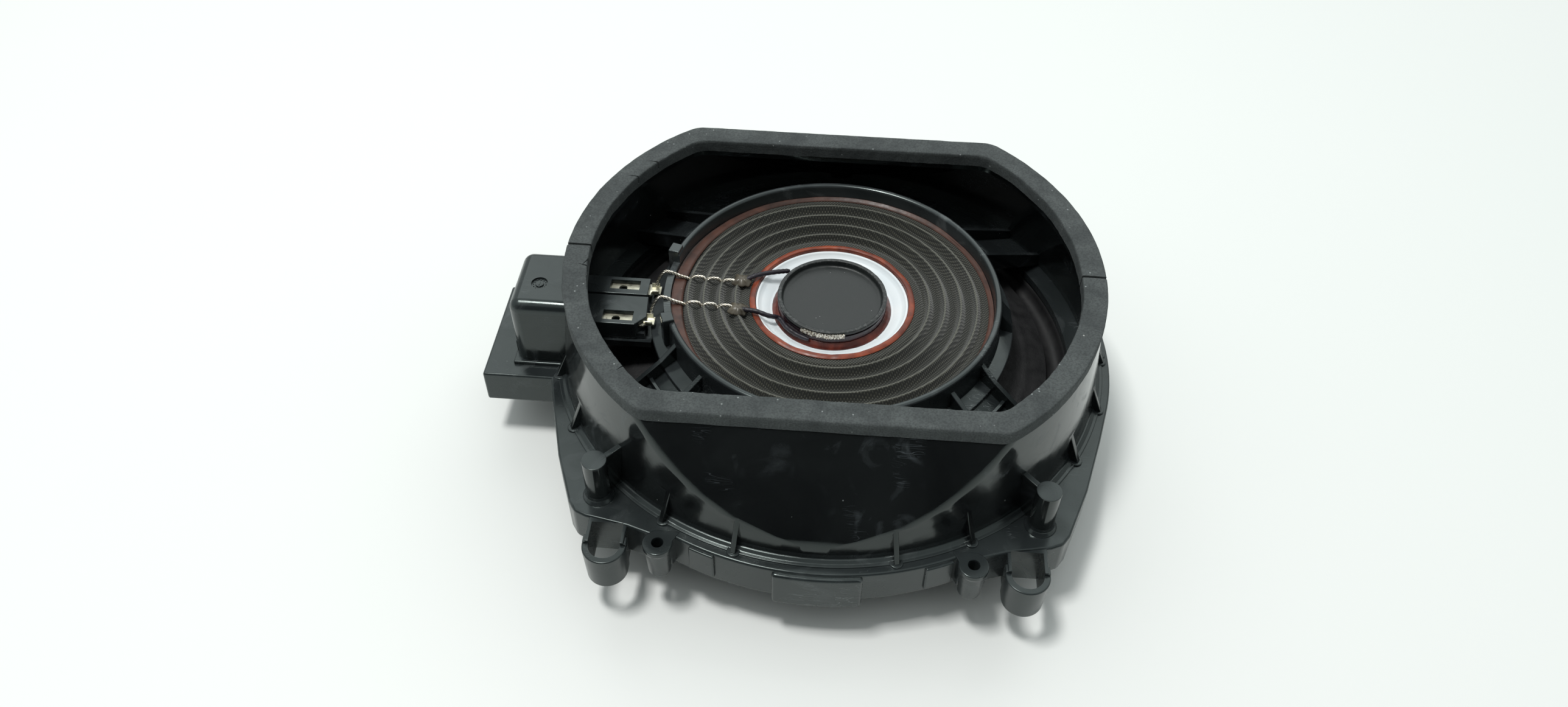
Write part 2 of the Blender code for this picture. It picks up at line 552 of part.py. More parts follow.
def cone_and_surround():
    """The cone from the coupler to its rolled edge. Its hollow side faces the motor."""
    neck, edge = Vector(CONE_NECK), Vector(CONE_EDGE)
    middle = (neck + edge) / 2 + Vector((0, 0.9 * MM))
    line = [neck, middle, edge]
    rise = Vector((0, CONE_THICK / 2))
    turned("cone", [tuple(p + rise) for p in line] + [tuple(p - rise) for p in reversed(line)], "cone_paper")

    centre_r, centre_z = ROLL_CENTRE
    spine = [(77.6 * MM, centre_z)]
    spine += [(centre_r - ROLL_RADIUS * cos(pi * step / 4), centre_z - ROLL_RADIUS * sin(pi * step / 4))
              for step in range(5)]
    spine += [(89.4 * MM, 26.2 * MM), (92.6 * MM, 26.2 * MM)]
    half = 0.35 * MM
    upper, lower = [], []
    for count, (r, z) in enumerate(spine):
        before, after = spine[max(count - 1, 0)], spine[min(count + 1, len(spine) - 1)]
        along = Vector((after[0] - before[0], after[1] - before[1])).normalized()
        across = Vector((-along.y, along.x)) * half
        upper.append((r + across.x, z + across.y))
        lower.append((r - across.x, z - across.y))
    turned("surround", upper + lower[::-1], "surround_rubber")


def motor():
    """Steel yoke with its pole, ring magnet and top plate. The coil runs in the gap between pole and plate."""
    yoke = turned("yoke", [(0, YOKE_BOTTOM), (YOKE_RADIUS, YOKE_BOTTOM), (YOKE_RADIUS, YOKE_TOP),
                           (POLE_RADIUS, YOKE_TOP), (POLE_RADIUS, POLE_TOP), (0, POLE_TOP)], "plated_steel")
    for angle in MAGNET_SCREWS:
        place = spot(MAGNET_SCREW_RADIUS, angle)
        cut_with(yoke, turned("thread", [(0, YOKE_BOTTOM - MM), (1.5 * MM, YOKE_BOTTOM - MM), (1.5 * MM, 7.2 * MM),
                                         (0, 7.2 * MM)], "plated_steel", 12, place))
    low = YOKE_TOP + GAP
    turned("magnet", [(MAGNET_INNER, low), (MAGNET_OUTER, low), (MAGNET_OUTER, MAGNET_TOP),
                      (MAGNET_INNER, MAGNET_TOP)], "ferrite")
    low = MAGNET_TOP + GAP
    turned("top_plate", [(PLATE_BORE, low), (PLATE_RADIUS, low), (PLATE_RADIUS, POLE_TOP), (PLATE_BORE, POLE_TOP)],
           "plated_steel")


def motor_bridge():
    """The hub under the motor, four arms, and the ring that clamps the surround's edge to the flange."""
    rim = YOKE_RADIUS + 1.2 * MM
    bridge = turned("motor_bridge", [(0, 0), (HUB_RADIUS - MM, 0), (HUB_RADIUS, MM), (HUB_RADIUS, 9 * MM),
                                     (rim, 9 * MM), (rim, YOKE_BOTTOM - GAP), (0, YOKE_BOTTOM - GAP)],
                    "bridge_plastic")
    inner, outer, low, high = BRIDGE_RING
    ring = turned("ring", [(inner, low), (outer, low), (outer, high), (92.4 * MM, high), (92.4 * MM, 25.4 * MM),
                           (89.6 * MM, 25.4 * MM), (inner, high)], "bridge_plastic")
    for angle in (45, 135, 225, 315):
        arm = [(45.5 * MM, 0.6 * MM), (79 * MM, 0.6 * MM), (86 * MM, 4 * MM), (94 * MM, 18.2 * MM),
               (94 * MM, 21 * MM), (90 * MM, 21 * MM), (88.2 * MM, 16.5 * MM), (82 * MM, 8 * MM),
               (77 * MM, 6.5 * MM), (45.5 * MM, 6.5 * MM)]
        joined(ring, fin("arm", arm, ARM_HALF_WIDTH, angle))
        spine = [(45.9 * MM, 5 * MM), (77 * MM, 5 * MM), (74 * MM, 9.5 * MM), (45.9 * MM, 13 * MM)]
        joined(ring, fin("spine", spine, 1.25 * MM, angle))
    joined(bridge, ring)
    for angle in BRIDGE_SCREWS:
        place = spot(BRIDGE_SCREW_RADIUS, angle)
        cut_with(bridge, turned("hole", [(0, low - MM), (3.3 * MM, low - MM), (3.3 * MM, low + 2.3 * MM),
                                         (1.5 * MM, low + 2.3 * MM), (1.5 * MM, high + MM), (0, high + MM)],
                                "bridge_plastic", 10, place))
    for angle in MAGNET_SCREWS:
        place = spot(MAGNET_SCREW_RADIUS, angle)
        cut_with(bridge, turned("sink", [(0, -MM), (3.5 * MM, -MM), (3.5 * MM, 2.1 * MM), (1.6 * MM, 2.1 * MM),
                                         (1.6 * MM, 6 * MM), (0, 6 * MM)], "bridge_plastic", 10, place))
    return bridge


def screw(name, place, bottom, head_high, length):
    """A pan head screw that stands head down."""
    top = bottom + head_high
    outline = [(0, bottom), (SCREW_HEAD * 0.75, bottom), (SCREW_HEAD, bottom + 0.6 * MM), (SCREW_HEAD, top),
               (SCREW_SHANK, top), (SCREW_SHANK, top + length - 0.8 * MM), (0, top + length)]
    return turned(name, outline, "black_screw", 10, place)


def screws():
    for count, angle in enumerate(BRIDGE_SCREWS, 1):
        screw(f"bridge_screw_{count}", spot(BRIDGE_SCREW_RADIUS, angle), BRIDGE_RING[2] + 0.1 * MM, 1.8 * MM, 8.5 * MM)
    for count, angle in enumerate(MAGNET_SCREWS, 1):
        screw(f"magnet_screw_{count}", spot(MAGNET_SCREW_RADIUS, angle), 0.2 * MM, 1.6 * MM, 5.0 * MM)


def smooth_route(points, per_span):
    """Points along a smooth curve through the given ones."""
    points = [Vector(point) * MM for point in points]
    ends = [points[0] * 2 - points[1], *points, points[-1] * 2 - points[-2]]
    route = []
    for a, b, c, d in zip(ends, ends[1:], ends[2:], ends[3:]):
        for step in range(per_span):
            t = step / per_span
            route.append(0.5 * (2 * b + (c - a) * t + (2 * a - 5 * b + 4 * c - d) * t ** 2
                                + (3 * b - a - 3 * c + d) * t ** 3))
    return [*route, points[-1]]


def tube(name, points, radius, slot, per_span=2):
    """A round lead along its route, held by the object at both ends. Heights are above the flange."""
    curve = bpy.data.curves.new(name, "CURVE")
    curve.dimensions = "3D"
    curve.bevel_depth = radius
    curve.bevel_resolution = 2
    curve.use_fill_caps = True
    route = smooth_route(points, per_span)
    line = curve.splines.new("POLY")
    line.points.add(len(route) - 1)
    for point, place in zip(line.points, route):
        point.co = (place.x, place.y, place.z + FLANGE, 1.0)
    made = bpy.data.objects.new(name, curve)
    bpy.context.scene.collection.objects.link(made)
    curve.materials.append(material(slot))
    return made


LEAD_RADIUS = 0.7 * MM
SLEEVE_RADIUS = 0.9 * MM


def leads():
    """Braided leads from the contacts' tags over the spider, then sleeves up to the coil former."""
    over = [(-64.3, 4.4, 19.3), (-63.4, 5.8, 22.6), (-60.0, 6.0, 25.4), (-56.6, 5.9, 24.6), (-52.0, 5.6, 23.8),
            (-46.2, 5.4, 23.6), (-40.5, 5.2, 23.5), (-35.6, 5.0, 23.4)]
    under = [(-64.3, -10.2, 19.3), (-63.2, -9.0, 22.6), (-60.0, -7.6, 25.4), (-56.6, -7.5, 24.6),
             (-52.0, -7.6, 23.8), (-46.2, -7.8, 23.6), (-40.5, -8.1, 23.5), (-35.6, -8.5, 23.4)]
    tube("tinsel_lead_positive", over, LEAD_RADIUS, "silver_braid")
    tube("tinsel_lead_negative", under, LEAD_RADIUS, "silver_braid")
    tube("lead_sleeve_positive", [(-30.5, 6.6, 23.6), (-27.0, 8.6, 23.7), (-22.0, 11.0, 23.0), (-17.4, 12.8, 22.4),
                                  (-15.6, 13.6, 22.0)], SLEEVE_RADIUS, "black_sleeve")
    wrap = [(*spot(20.8, angle), 20.1) for angle in (208, 222, 236, 250)]
    tube("lead_sleeve_negative", [(-30.3, -10.0, 23.6), (-26.4, -10.6, 23.6), (-22.0, -11.2, 22.4), *wrap],
         SLEEVE_RADIUS, "black_sleeve")
    sector("coil_tail_strip", 19.7 * MM, 20.3 * MM, 238, 286, FLANGE + 21.3 * MM, FLANGE + 23.6 * MM,
           "silver_braid", 8)
    low = SPIDER_LEVEL + SPIDER_RIDGE + SPIDER_THICK / 2 + GAP
    for name, x, y in (("lead_glue_positive", -33.1, 5.8), ("lead_glue_negative", -32.9, -9.2)):
        turned(name, [(0, low), (1.8 * MM, low), (1.5 * MM, low + 1.1 * MM), (0, low + 1.5 * MM)],
               "clear_glue", 12, (x * MM, y * MM))


def main():
    for leftover in list(bpy.data.objects):
        bpy.data.objects.remove(leftover)
    basket()
    foam("foam_gasket_front", -1)
    foam("foam_gasket_rear", 1)
    terminal_carrier()
    contact("contact_positive", BLADE_Y[0])
    contact("contact_negative", BLADE_Y[1])
    spider()
    glue_beads()
    coupler_ring()
    voice_coil()
    cone_and_surround()
    motor()
    motor_bridge()
    screws()
    leads()


main()
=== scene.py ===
import json
from math import asin, cos, hypot, pi, radians, sin

import bmesh
import bpy
from mathutils import Matrix, Vector, noise
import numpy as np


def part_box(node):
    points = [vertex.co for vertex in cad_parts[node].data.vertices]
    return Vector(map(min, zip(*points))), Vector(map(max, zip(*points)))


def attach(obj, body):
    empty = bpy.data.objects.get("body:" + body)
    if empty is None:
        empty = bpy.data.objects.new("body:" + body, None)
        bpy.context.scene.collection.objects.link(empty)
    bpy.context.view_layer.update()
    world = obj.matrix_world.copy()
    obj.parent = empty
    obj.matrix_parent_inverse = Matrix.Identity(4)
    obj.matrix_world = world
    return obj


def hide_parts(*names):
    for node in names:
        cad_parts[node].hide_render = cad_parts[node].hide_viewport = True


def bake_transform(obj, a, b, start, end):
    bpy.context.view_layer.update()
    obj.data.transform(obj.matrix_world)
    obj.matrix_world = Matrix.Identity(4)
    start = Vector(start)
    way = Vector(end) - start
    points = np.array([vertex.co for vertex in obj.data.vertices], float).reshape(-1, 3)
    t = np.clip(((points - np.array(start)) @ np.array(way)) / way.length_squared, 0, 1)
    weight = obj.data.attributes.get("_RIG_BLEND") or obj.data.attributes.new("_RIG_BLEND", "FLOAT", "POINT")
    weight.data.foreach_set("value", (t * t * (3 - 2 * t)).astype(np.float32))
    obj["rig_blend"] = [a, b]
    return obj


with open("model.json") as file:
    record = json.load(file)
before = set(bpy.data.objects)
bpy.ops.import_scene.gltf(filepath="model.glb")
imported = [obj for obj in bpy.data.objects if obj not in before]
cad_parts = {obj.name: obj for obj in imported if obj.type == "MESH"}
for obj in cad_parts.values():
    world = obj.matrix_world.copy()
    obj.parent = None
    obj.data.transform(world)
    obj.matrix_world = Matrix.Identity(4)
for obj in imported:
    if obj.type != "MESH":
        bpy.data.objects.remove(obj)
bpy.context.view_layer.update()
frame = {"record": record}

# The finished look of a shallow car woofer with an air duct on its back. It lies on its motor with +Z out of
# the duct, and its coil moves along Z. Lengths are in metres. Heights written as FLANGE + n are above the
# flange's upper face.

MM = 0.001
mounts = {entry["name"]: Vector(entry["pos_m"]) for entry in frame["record"]["mounts"]}

# Heights and places that come from the frame
FLANGE = mounts["flange_face"].z
FOAM_LOW, FOAM_HIGH = (corner.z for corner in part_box("foam_gasket_front"))
HOOK_X = mounts["hook_face_rear_right"].x
HOOK_Y = mounts["hook_face_rear_right"].y - 6.2 * MM
HOOK_LOW = mounts["hook_face_rear_right"].z
BOSS_X, BOSS_Y = mounts["boss_face_rear_right"].x - 3.3 * MM, mounts["boss_face_rear_right"].y
HOOD_LEFT = mounts["connector_face"].x
TRAY_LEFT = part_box("basket")[0].x
CAP_TOP, CAP_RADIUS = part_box("coil_cap")[1].z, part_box("coil_cap")[1].x
SPIDER_LOW, SPIDER_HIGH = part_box("spider")
SPIDER_LEVEL = (SPIDER_LOW.z + SPIDER_HIGH.z) / 2
BLADE_LOW, BLADE_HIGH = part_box("contact_positive")
BLADE_YS = tuple((low.y + high.y) / 2
                 for low, high in (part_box("contact_positive"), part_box("contact_negative")))
WINDING_LOW, WINDING_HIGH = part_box("voice_coil_winding")
FORMER_LOW, FORMER_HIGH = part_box("voice_coil_former")
MAGNET_LOW, MAGNET_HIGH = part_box("magnet")
PLATE_LOW, PLATE_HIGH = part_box("top_plate")
YOKE_LOW, YOKE_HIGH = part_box("yoke")

# Flange and skirt
FLANGE_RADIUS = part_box("basket")[1].x
FLANGE_THICK = 3.0 * MM
SKIRT_DEPTH = 14.0 * MM
SKIRT_WALL = 2.5 * MM
LANDING_RADIUS = 88.0 * MM
CORNER = [(95.9, 40.0), (89.4, 62.0), (82.0, 81.0), (79.5, 84.6), (75.5, 86.4), (61.3, 89.2), (52.5, 92.3)]
CORNER_START, CORNER_END = 13.5, 63.2
PADS = ((-97.3, -81.3, 104.6, 16.0), (-113.0, -108.0, 104.0, 12.0), (-70.0, -64.6, 104.0, 12.0))

# Duct
DUCT_HEIGHT = 35.2 * MM
DUCT_BASE_RADIUS = 97.6 * MM
DUCT_TOP_RADIUS = 93.8 * MM
DUCT_TOP_FLAT = 74.2 * MM
DUCT_FLAT_SLOPE = 0.82
DUCT_WALL = 2.6 * MM
DUCT_CORNER = 9.0 * MM
DUCT_CORNER_GROWTH = 22.0 * MM
LIP_THICK = 2.2 * MM
OPENING_RADIUS, OPENING_FLAT = 86.4 * MM, 66.2 * MM
GUSSET_ANGLES = (1, 15, 30, 60, 75, 105, 120, 150, 165)
GUSSET_FOOT = 100.8 * MM
GUSSET_HEIGHT = 13.0 * MM

# Foam
FOAM_OUTER = (94.1 * MM, 74.4 * MM)
FOAM_INNER = (85.8 * MM, 65.5 * MM)

# Posts, hooks and bosses
POST = (72.4 * MM, 77.4 * MM)
POST_RADIUS, POST_HEIGHT = 4.1 * MM, 18.0 * MM
HOOK_RADIUS, HOOK_SLOT = 7.3 * MM, 5.2 * MM
BOSS_RADIUS, BOSS_HOLE = 4.9 * MM, 1.7 * MM

# Connector
TRAY_FRONT, TRAY_BACK, TRAY_DEPTH = -27.5 * MM, 19.3 * MM, 13.5 * MM
HOOD_FRONT, HOOD_BACK, HOOD_HEIGHT = -20.5 * MM, 9.0 * MM, 29.0 * MM
SOCKET_FRONT, SOCKET_BACK = -18.0 * MM, 6.5 * MM
SOCKET_BOTTOM, SOCKET_TOP, SOCKET_END = 8.0 * MM, 26.0 * MM, -98.5 * MM
DIAL = (-103.7 * MM, -8.6 * MM)
DIAL_RADIUS = 2.9 * MM

# Carrier ring and terminals
SPOKE_ANGLES = (37.5, 142.5, 217.5, 322.5)
SPOKE_HALF_WIDTH = 9.2 * MM
ARM_TOP, ARM_BOTTOM = FLANGE + 20.0 * MM, FLANGE + 12.8 * MM
BLADE_HOLE = (-76.6 * MM, 1.5 * MM)
WINDOW = (-81.0 * MM, -70.4 * MM, 2.2 * MM)

# Spider, and the radii between which it and the surround bend
RIDGE_RADII = (34.8 * MM, 40.5 * MM, 46.2 * MM, 52.0 * MM)
RIDGE_HEIGHT = 1.45 * MM
WEAVE_PITCH = 0.8 * MM
SPIDER_BEND = (32.0 * MM, 55.5 * MM)
SURROUND_BEND = (80.6 * MM, 89.0 * MM)

# Bridge
HUB_RADIUS = 47.0 * MM
BRIDGE_RING = (89.2 * MM, 99.7 * MM, 17.5 * MM, 22.0 * MM)
BRIDGE_SCREW_RADIUS = 96.2 * MM
BRIDGE_SCREW_ANGLES = tuple(22.5 + 45.0 * turn for turn in range(8))
MAGNET_SCREW_RADIUS = 30.0 * MM
MAGNET_SCREW_ANGLES = (90.0, 210.0, 330.0)


# ---------------------------------------------------------------- materials


class Look:
    """A Principled material whose patterns are built node by node in the object's own coordinates."""

    def __init__(self, name, colour, roughness, **sockets):
        self.material = bpy.data.materials.new(name)
        self.material.use_nodes = True
        self.tree = self.material.node_tree
        self.shader = self.tree.nodes["Principled BSDF"]
        self.shader.inputs["Base Color"].default_value = (*colour, 1.0)
        self.shader.inputs["Roughness"].default_value = roughness
        for socket, value in sockets.items():
            self.shader.inputs[socket.replace("_", " ").title().replace("Ior", "IOR")].default_value = value
        self.place = self.tree.nodes.new("ShaderNodeTexCoord").outputs["Object"]

    def node(self, kind, links=(), **settings):
        made = self.tree.nodes.new("ShaderNode" + kind)
        for key, value in settings.items():
            setattr(made, key, value)
        for socket, value in dict(links).items():
            self.feed(made.inputs[socket], value)
        return made

    def feed(self, socket, value):
        if isinstance(value, bpy.types.NodeSocket):
            self.tree.links.new(value, socket)
        elif isinstance(value, tuple) and len(value) == 3 and socket.type == "RGBA":
            socket.default_value = (*value, 1.0)
        else:
            socket.default_value = value

    def stretched(self, scale, turn=(0.0, 0.0, 0.0)):
        return self.node("Mapping", {"Vector": self.place, "Scale": scale, "Rotation": turn}).outputs[0]

    def noise(self, size, detail=4.0, distortion=0.0, place=None):
        """Clouds about this many metres across."""
        links = {"Vector": place or self.place, "Scale": 1 / size, "Detail": detail, "Distortion": distortion}
        return self.node("TexNoise", links).outputs[0]

    def step(self, value, low, high, out_low=0.0, out_high=1.0):
        links = {"Value": value, "From Min": low, "From Max": high, "To Min": out_low, "To Max": out_high}
        return self.node("MapRange", links, clamp=True).outputs[0]

    def sums(self, operation, first, second):
        return self.node("Math", {0: first, 1: second}, operation=operation).outputs[0]

    def specks(self, size, share, radius=0.16):
        """Small round dots, one in some of the cells of this size."""
        cells = self.node("TexVoronoi", {"Vector": self.place, "Scale": 1 / size})
        dot = self.step(cells.outputs["Distance"], radius, radius * 0.6)
        red = self.node("SeparateColor", {"Color": cells.outputs["Color"]}).outputs[0]
        return self.sums("MULTIPLY", dot, self.step(red, 1 - share, 1 - share + 0.01))

    def scratches(self, length, share, turn):
        """Fine lines that run one way and fade in and out."""
        lines = self.noise(1.0, 2.0, 0.6, self.stretched((1 / length, 14 / length, 9 / length), turn))
        near = self.node("Math", {0: lines, 1: 0.5, 2: 0.006}, operation="COMPARE").outputs[0]
        patch = self.step(self.noise(0.03, 3.0), 1 - share, 1 - share + 0.1)
        return self.sums("MULTIPLY", near, patch)

    def mixed(self, factor, first, second):
        made = self.node("Mix", {0: factor}, data_type="RGBA")
        self.feed(made.inputs[6], first)
        self.feed(made.inputs[7], second)
        return made.outputs[2]

    def paint(self, colour):
        self.feed(self.shader.inputs["Base Color"], colour)

    def rough(self, value):
        self.feed(self.shader.inputs["Roughness"], value)

    def bump(self, height, depth, strength=1.0):
        """Adds a bump this many metres deep on top of the ones before it."""
        made = self.node("Bump", {"Height": height, "Distance": depth, "Strength": strength})
        before = self.shader.inputs["Normal"]
        if before.is_linked:
            self.feed(made.inputs["Normal"], before.links[0].from_socket)
        self.feed(before, made.outputs[0])


def moulded(name, low, high, haze, smooth, dull):
    """Black moulded plastic: hazy wipe marks, fine scratches, specks of dust and a faint mould grain."""
    look = Look(name, low, smooth, specular_tint=(0.88, 1.0, 0.97, 1.0), specular_ior_level=0.58)
    cloud = look.noise(0.045, 6.0, 1.2)
    smudge = look.step(look.noise(0.016, 8.0, 2.0), 0.55, 0.78)
    wiped = look.sums("MULTIPLY", smudge, look.step(cloud, 0.47, 0.6))
    colour = look.mixed(look.step(cloud, 0.35, 0.65), low, high)
    colour = look.mixed(look.sums("MULTIPLY", wiped, 0.5), colour, haze)
    for length, turn in ((0.030, (0.3, 0.5, 0.7)), (0.022, (1.2, 0.2, 2.1))):
        colour = look.mixed(look.scratches(length, 0.42, turn), colour, haze)
    colour = look.mixed(look.specks(2.6 * MM, 0.02, 0.10), colour, (0.26, 0.28, 0.28))
    look.paint(colour)
    grain = look.step(look.noise(0.02, 6.0, 1.0), 0.35, 0.7, smooth, dull)
    look.rough(look.sums("ADD", grain, look.sums("MULTIPLY", wiped, 0.22)))
    look.bump(look.noise(0.9 * MM, 3.0), 0.02 * MM, 0.5)
    look.bump(look.noise(0.011, 2.0), 0.10 * MM, 0.5)
    return look.material


def foam_look():
    """Cut closed-cell foam: mottled grey, pitted, with pale dust in its pores."""
    look = Look("foam_skin", (0.045, 0.048, 0.049), 0.92, specular_ior_level=0.2)
    fine, wide = look.noise(0.6 * MM, 8.0), look.noise(0.012, 5.0, 0.8)
    colour = look.mixed(look.step(wide, 0.35, 0.65), (0.062, 0.070, 0.071), (0.094, 0.105, 0.105))
    colour = look.mixed(look.step(fine, 0.42, 0.62, 0.0, 0.45), colour, (0.036, 0.038, 0.040))
    colour = look.mixed(look.specks(2.4 * MM, 0.24, 0.14), colour, (0.26, 0.28, 0.28))
    colour = look.mixed(look.specks(7.0 * MM, 0.10, 0.05), colour, (0.75, 0.75, 0.72))
    look.paint(colour)
    look.rough(look.step(fine, 0.3, 0.7, 0.82, 0.98))
    look.bump(fine, 0.10 * MM, 0.9)
    look.bump(look.noise(3.0 * MM, 3.0), 0.25 * MM, 0.6)
    return look.material


def cloth_look():
    """Resin-dipped open weave: two crossed sets of threads, olive grey, with a painted highlight along the
    ridge crests and painted shade on the rolls.
    """
    look = Look("spider_weave", (0.06, 0.056, 0.045), 0.7, sheen_weight=0.3, sheen_roughness=0.5)
    turned_place = look.stretched((1.0, 1.0, 1.0), (0.0, 0.0, radians(38)))
    ripple = dict(wave_type="BANDS", wave_profile="SIN")
    frequency = 0.314 / WEAVE_PITCH
    warp = look.node("TexWave", {"Vector": turned_place, "Scale": frequency, "Distortion": 0.0},
                     bands_direction="X", **ripple).outputs["Fac"]
    weft = look.node("TexWave", {"Vector": turned_place, "Scale": frequency, "Distortion": 0.0},
                     bands_direction="Y", **ripple).outputs["Fac"]
    weave = look.sums("MULTIPLY", warp, weft)
    up = look.node("SeparateXYZ", {"Vector": look.place}).outputs[2]
    # painted highlight: a pale band along the top of each roll, where light catches the crest
    crest = look.step(up, SPIDER_LEVEL + 1.62 * MM, SPIDER_LEVEL + 1.88 * MM)
    level = look.node("Math", {0: up, 1: SPIDER_LEVEL}, operation="SUBTRACT").outputs[0]
    # painted shade: darker away from the cloth's middle height, on the slopes and in the valleys of the rolls
    painted_roll_shade = look.step(look.node("Math", {0: level}, operation="ABSOLUTE").outputs[0], 0.15 * MM, 0.9 * MM)
    uneven = look.noise(0.012, 5.0, 0.5)
    thread = look.mixed(look.step(uneven, 0.35, 0.7), (0.044, 0.043, 0.031), (0.066, 0.064, 0.046))
    # the rolls get painted shade, then the crests get a painted highlight that also covers the dark pores
    thread = look.mixed(look.sums("MULTIPLY", painted_roll_shade, 0.6), thread, (0.020, 0.022, 0.016))
    thread = look.mixed(look.sums("MULTIPLY", crest, 0.7), thread, (0.16, 0.16, 0.13))
    pores = look.sums("MAXIMUM", look.step(weave, 0.06, 0.42), look.sums("MULTIPLY", crest, 0.7))
    look.paint(look.mixed(pores, (0.009, 0.010, 0.008), thread))
    look.rough(look.step(pores, 0.0, 1.0, 0.92, 0.52))
    look.bump(weave, 0.22 * MM, 0.9)
    look.bump(look.noise(2.2 * MM, 4.0), 0.12 * MM, 0.4)
    return look.material


def glue_look(name, dark, light, roughness):
    """Set glue, darker where it is thick, with a wavy wet surface."""
    look = Look(name, light, roughness, coat_weight=0.15, coat_roughness=0.3, specular_ior_level=0.35)
    thick = look.noise(0.010, 5.0, 1.5)
    colour = look.mixed(look.step(thick, 0.35, 0.66), dark, light)
    look.paint(look.mixed(look.specks(3.2 * MM, 0.05, 0.10), colour, (0.30, 0.24, 0.18)))
    look.rough(look.step(look.noise(2.0 * MM, 4.0), 0.3, 0.7, roughness * 0.8, roughness * 1.4))
    look.bump(look.noise(3.5 * MM, 3.0), 0.12 * MM, 0.4)
    return look.material


def white_look():
    """Bluish white moulded plastic with faint dirt and one or two yellow stains of glue."""
    look = Look("white_moulding", (0.84, 0.90, 0.93), 0.38)
    cloud = look.noise(0.018, 6.0, 0.8)
    colour = look.mixed(look.step(cloud, 0.3, 0.7), (0.82, 0.89, 0.93), (0.90, 0.94, 0.96))
    colour = look.mixed(look.sums("MULTIPLY", look.specks(5.5 * MM, 0.22, 0.16), 0.5), colour,
                        (0.55, 0.43, 0.22))
    look.paint(look.mixed(look.specks(2.1 * MM, 0.07, 0.10), colour, (0.24, 0.23, 0.22)))
    look.rough(look.step(look.noise(4 * MM, 5.0), 0.3, 0.7, 0.34, 0.52))
    look.bump(look.noise(1.2 * MM, 4.0), 0.03 * MM, 0.5)
    return look.material


def band_look():
    """Dark coated paper of the coil former, stained maroon by glue towards its foot."""
    look = Look("former_band", (0.03, 0.012, 0.016), 0.35, coat_weight=0.3, coat_roughness=0.2)
    up = look.node("SeparateXYZ", {"Vector": look.place}).outputs[2]
    foot = look.step(look.sums("ADD", up, look.step(look.noise(6 * MM), 0.3, 0.7, -0.0012, 0.0012)),
                     FLANGE + 21 * MM, FLANGE + 17 * MM)
    colour = look.mixed(look.step(look.noise(5 * MM, 5.0), 0.35, 0.65), (0.014, 0.009, 0.014),
                        (0.034, 0.018, 0.028))
    look.paint(look.mixed(foot, colour, (0.085, 0.016, 0.010)))
    look.rough(look.step(look.noise(1.5 * MM, 5.0), 0.3, 0.7, 0.24, 0.5))
    look.bump(look.noise(1.1 * MM, 3.0, 0.0, look.stretched((1.0, 1.0, 0.3))), 0.08 * MM, 0.5)
    return look.material


def cap_look():
    """Dull dark cap, finely pitted, scuffed grey along its raised rim."""
    look = Look("cap_skin", (0.028, 0.031, 0.031), 0.6)
    cloud, fine = look.noise(0.014, 5.0, 0.6), look.noise(0.35 * MM, 6.0)
    up = look.node("SeparateXYZ", {"Vector": look.place}).outputs[2]
    rim = look.step(up, CAP_TOP - 1.3 * MM, CAP_TOP - 0.3 * MM)
    colour = look.mixed(look.step(cloud, 0.35, 0.65), (0.012, 0.015, 0.015), (0.021, 0.025, 0.025))
    scuffed = look.sums("MULTIPLY", rim, look.step(look.noise(0.8 * MM, 8.0), 0.5, 0.64, 0.0, 0.45))
    colour = look.mixed(scuffed, colour, (0.12, 0.125, 0.125))
    look.paint(look.mixed(look.specks(1.3 * MM, 0.05, 0.12), colour, (0.35, 0.36, 0.36)))
    look.rough(look.step(cloud, 0.3, 0.7, 0.34, 0.52))
    look.bump(fine, 0.07 * MM, 0.7)
    return look.material


def metal_look(name, low, high, roughness, grain=0.4 * MM, tarnish=(0.10, 0.08, 0.05), share=0.35, **sockets):
    """Plated or bare metal with a fine grain and patches of tarnish."""
    look = Look(name, high, roughness, metallic=1.0, **sockets)
    cloud = look.noise(0.007, 6.0, 1.0)
    colour = look.mixed(look.step(cloud, 0.3, 0.7), low, high)
    look.paint(look.mixed(look.step(look.noise(2.4 * MM, 7.0, 1.0), 1 - share, 1.05 - share, 0.0, 0.7),
                          colour, tarnish))
    look.rough(look.step(look.noise(3 * MM, 6.0), 0.3, 0.7, roughness * 0.75, roughness * 1.5))
    look.bump(look.noise(grain, 4.0), 0.03 * MM, 0.5)
    return look.material


def skin_look(name, low, high, roughness, grain, depth, speckle=0.05, **sockets):
    """A dull dark skin, such as rubber, paper or ferrite, with a grain of its own size."""
    look = Look(name, low, roughness, **sockets)
    colour = look.mixed(look.step(look.noise(0.012, 6.0, 0.8), 0.35, 0.65), low, high)
    colour = look.mixed(look.step(look.noise(grain, 6.0), 0.5, 0.7, 0.0, 0.5), colour, high)
    look.paint(look.mixed(look.specks(3.0 * MM, speckle, 0.10), colour, (0.28, 0.29, 0.29)))
    look.rough(look.step(look.noise(4 * MM, 5.0), 0.3, 0.7, roughness * 0.8, min(roughness * 1.2, 1.0)))
    look.bump(look.noise(grain, 5.0), depth, 0.8)
    return look.material


def floor_look():
    """A plain pale table top, faintly uneven in tone. It is clear from below, to show the underside."""
    look = Look("pale_table", (0.86, 0.88, 0.86), 0.5, specular_ior_level=0.25)
    look.paint(look.mixed(look.step(look.noise(0.9, 3.0), 0.3, 0.7), (0.855, 0.885, 0.865),
                          (0.885, 0.890, 0.880)))
    look.rough(look.step(look.noise(0.2, 3.0), 0.3, 0.7, 0.45, 0.6))
    clear = look.node("BsdfTransparent").outputs[0]
    above = look.node("MixShader", {0: look.node("NewGeometry").outputs["Backfacing"],
                                    1: look.shader.outputs[0], 2: clear})
    look.feed(look.tree.nodes["Material Output"].inputs[0], above.outputs[0])
    return look.material


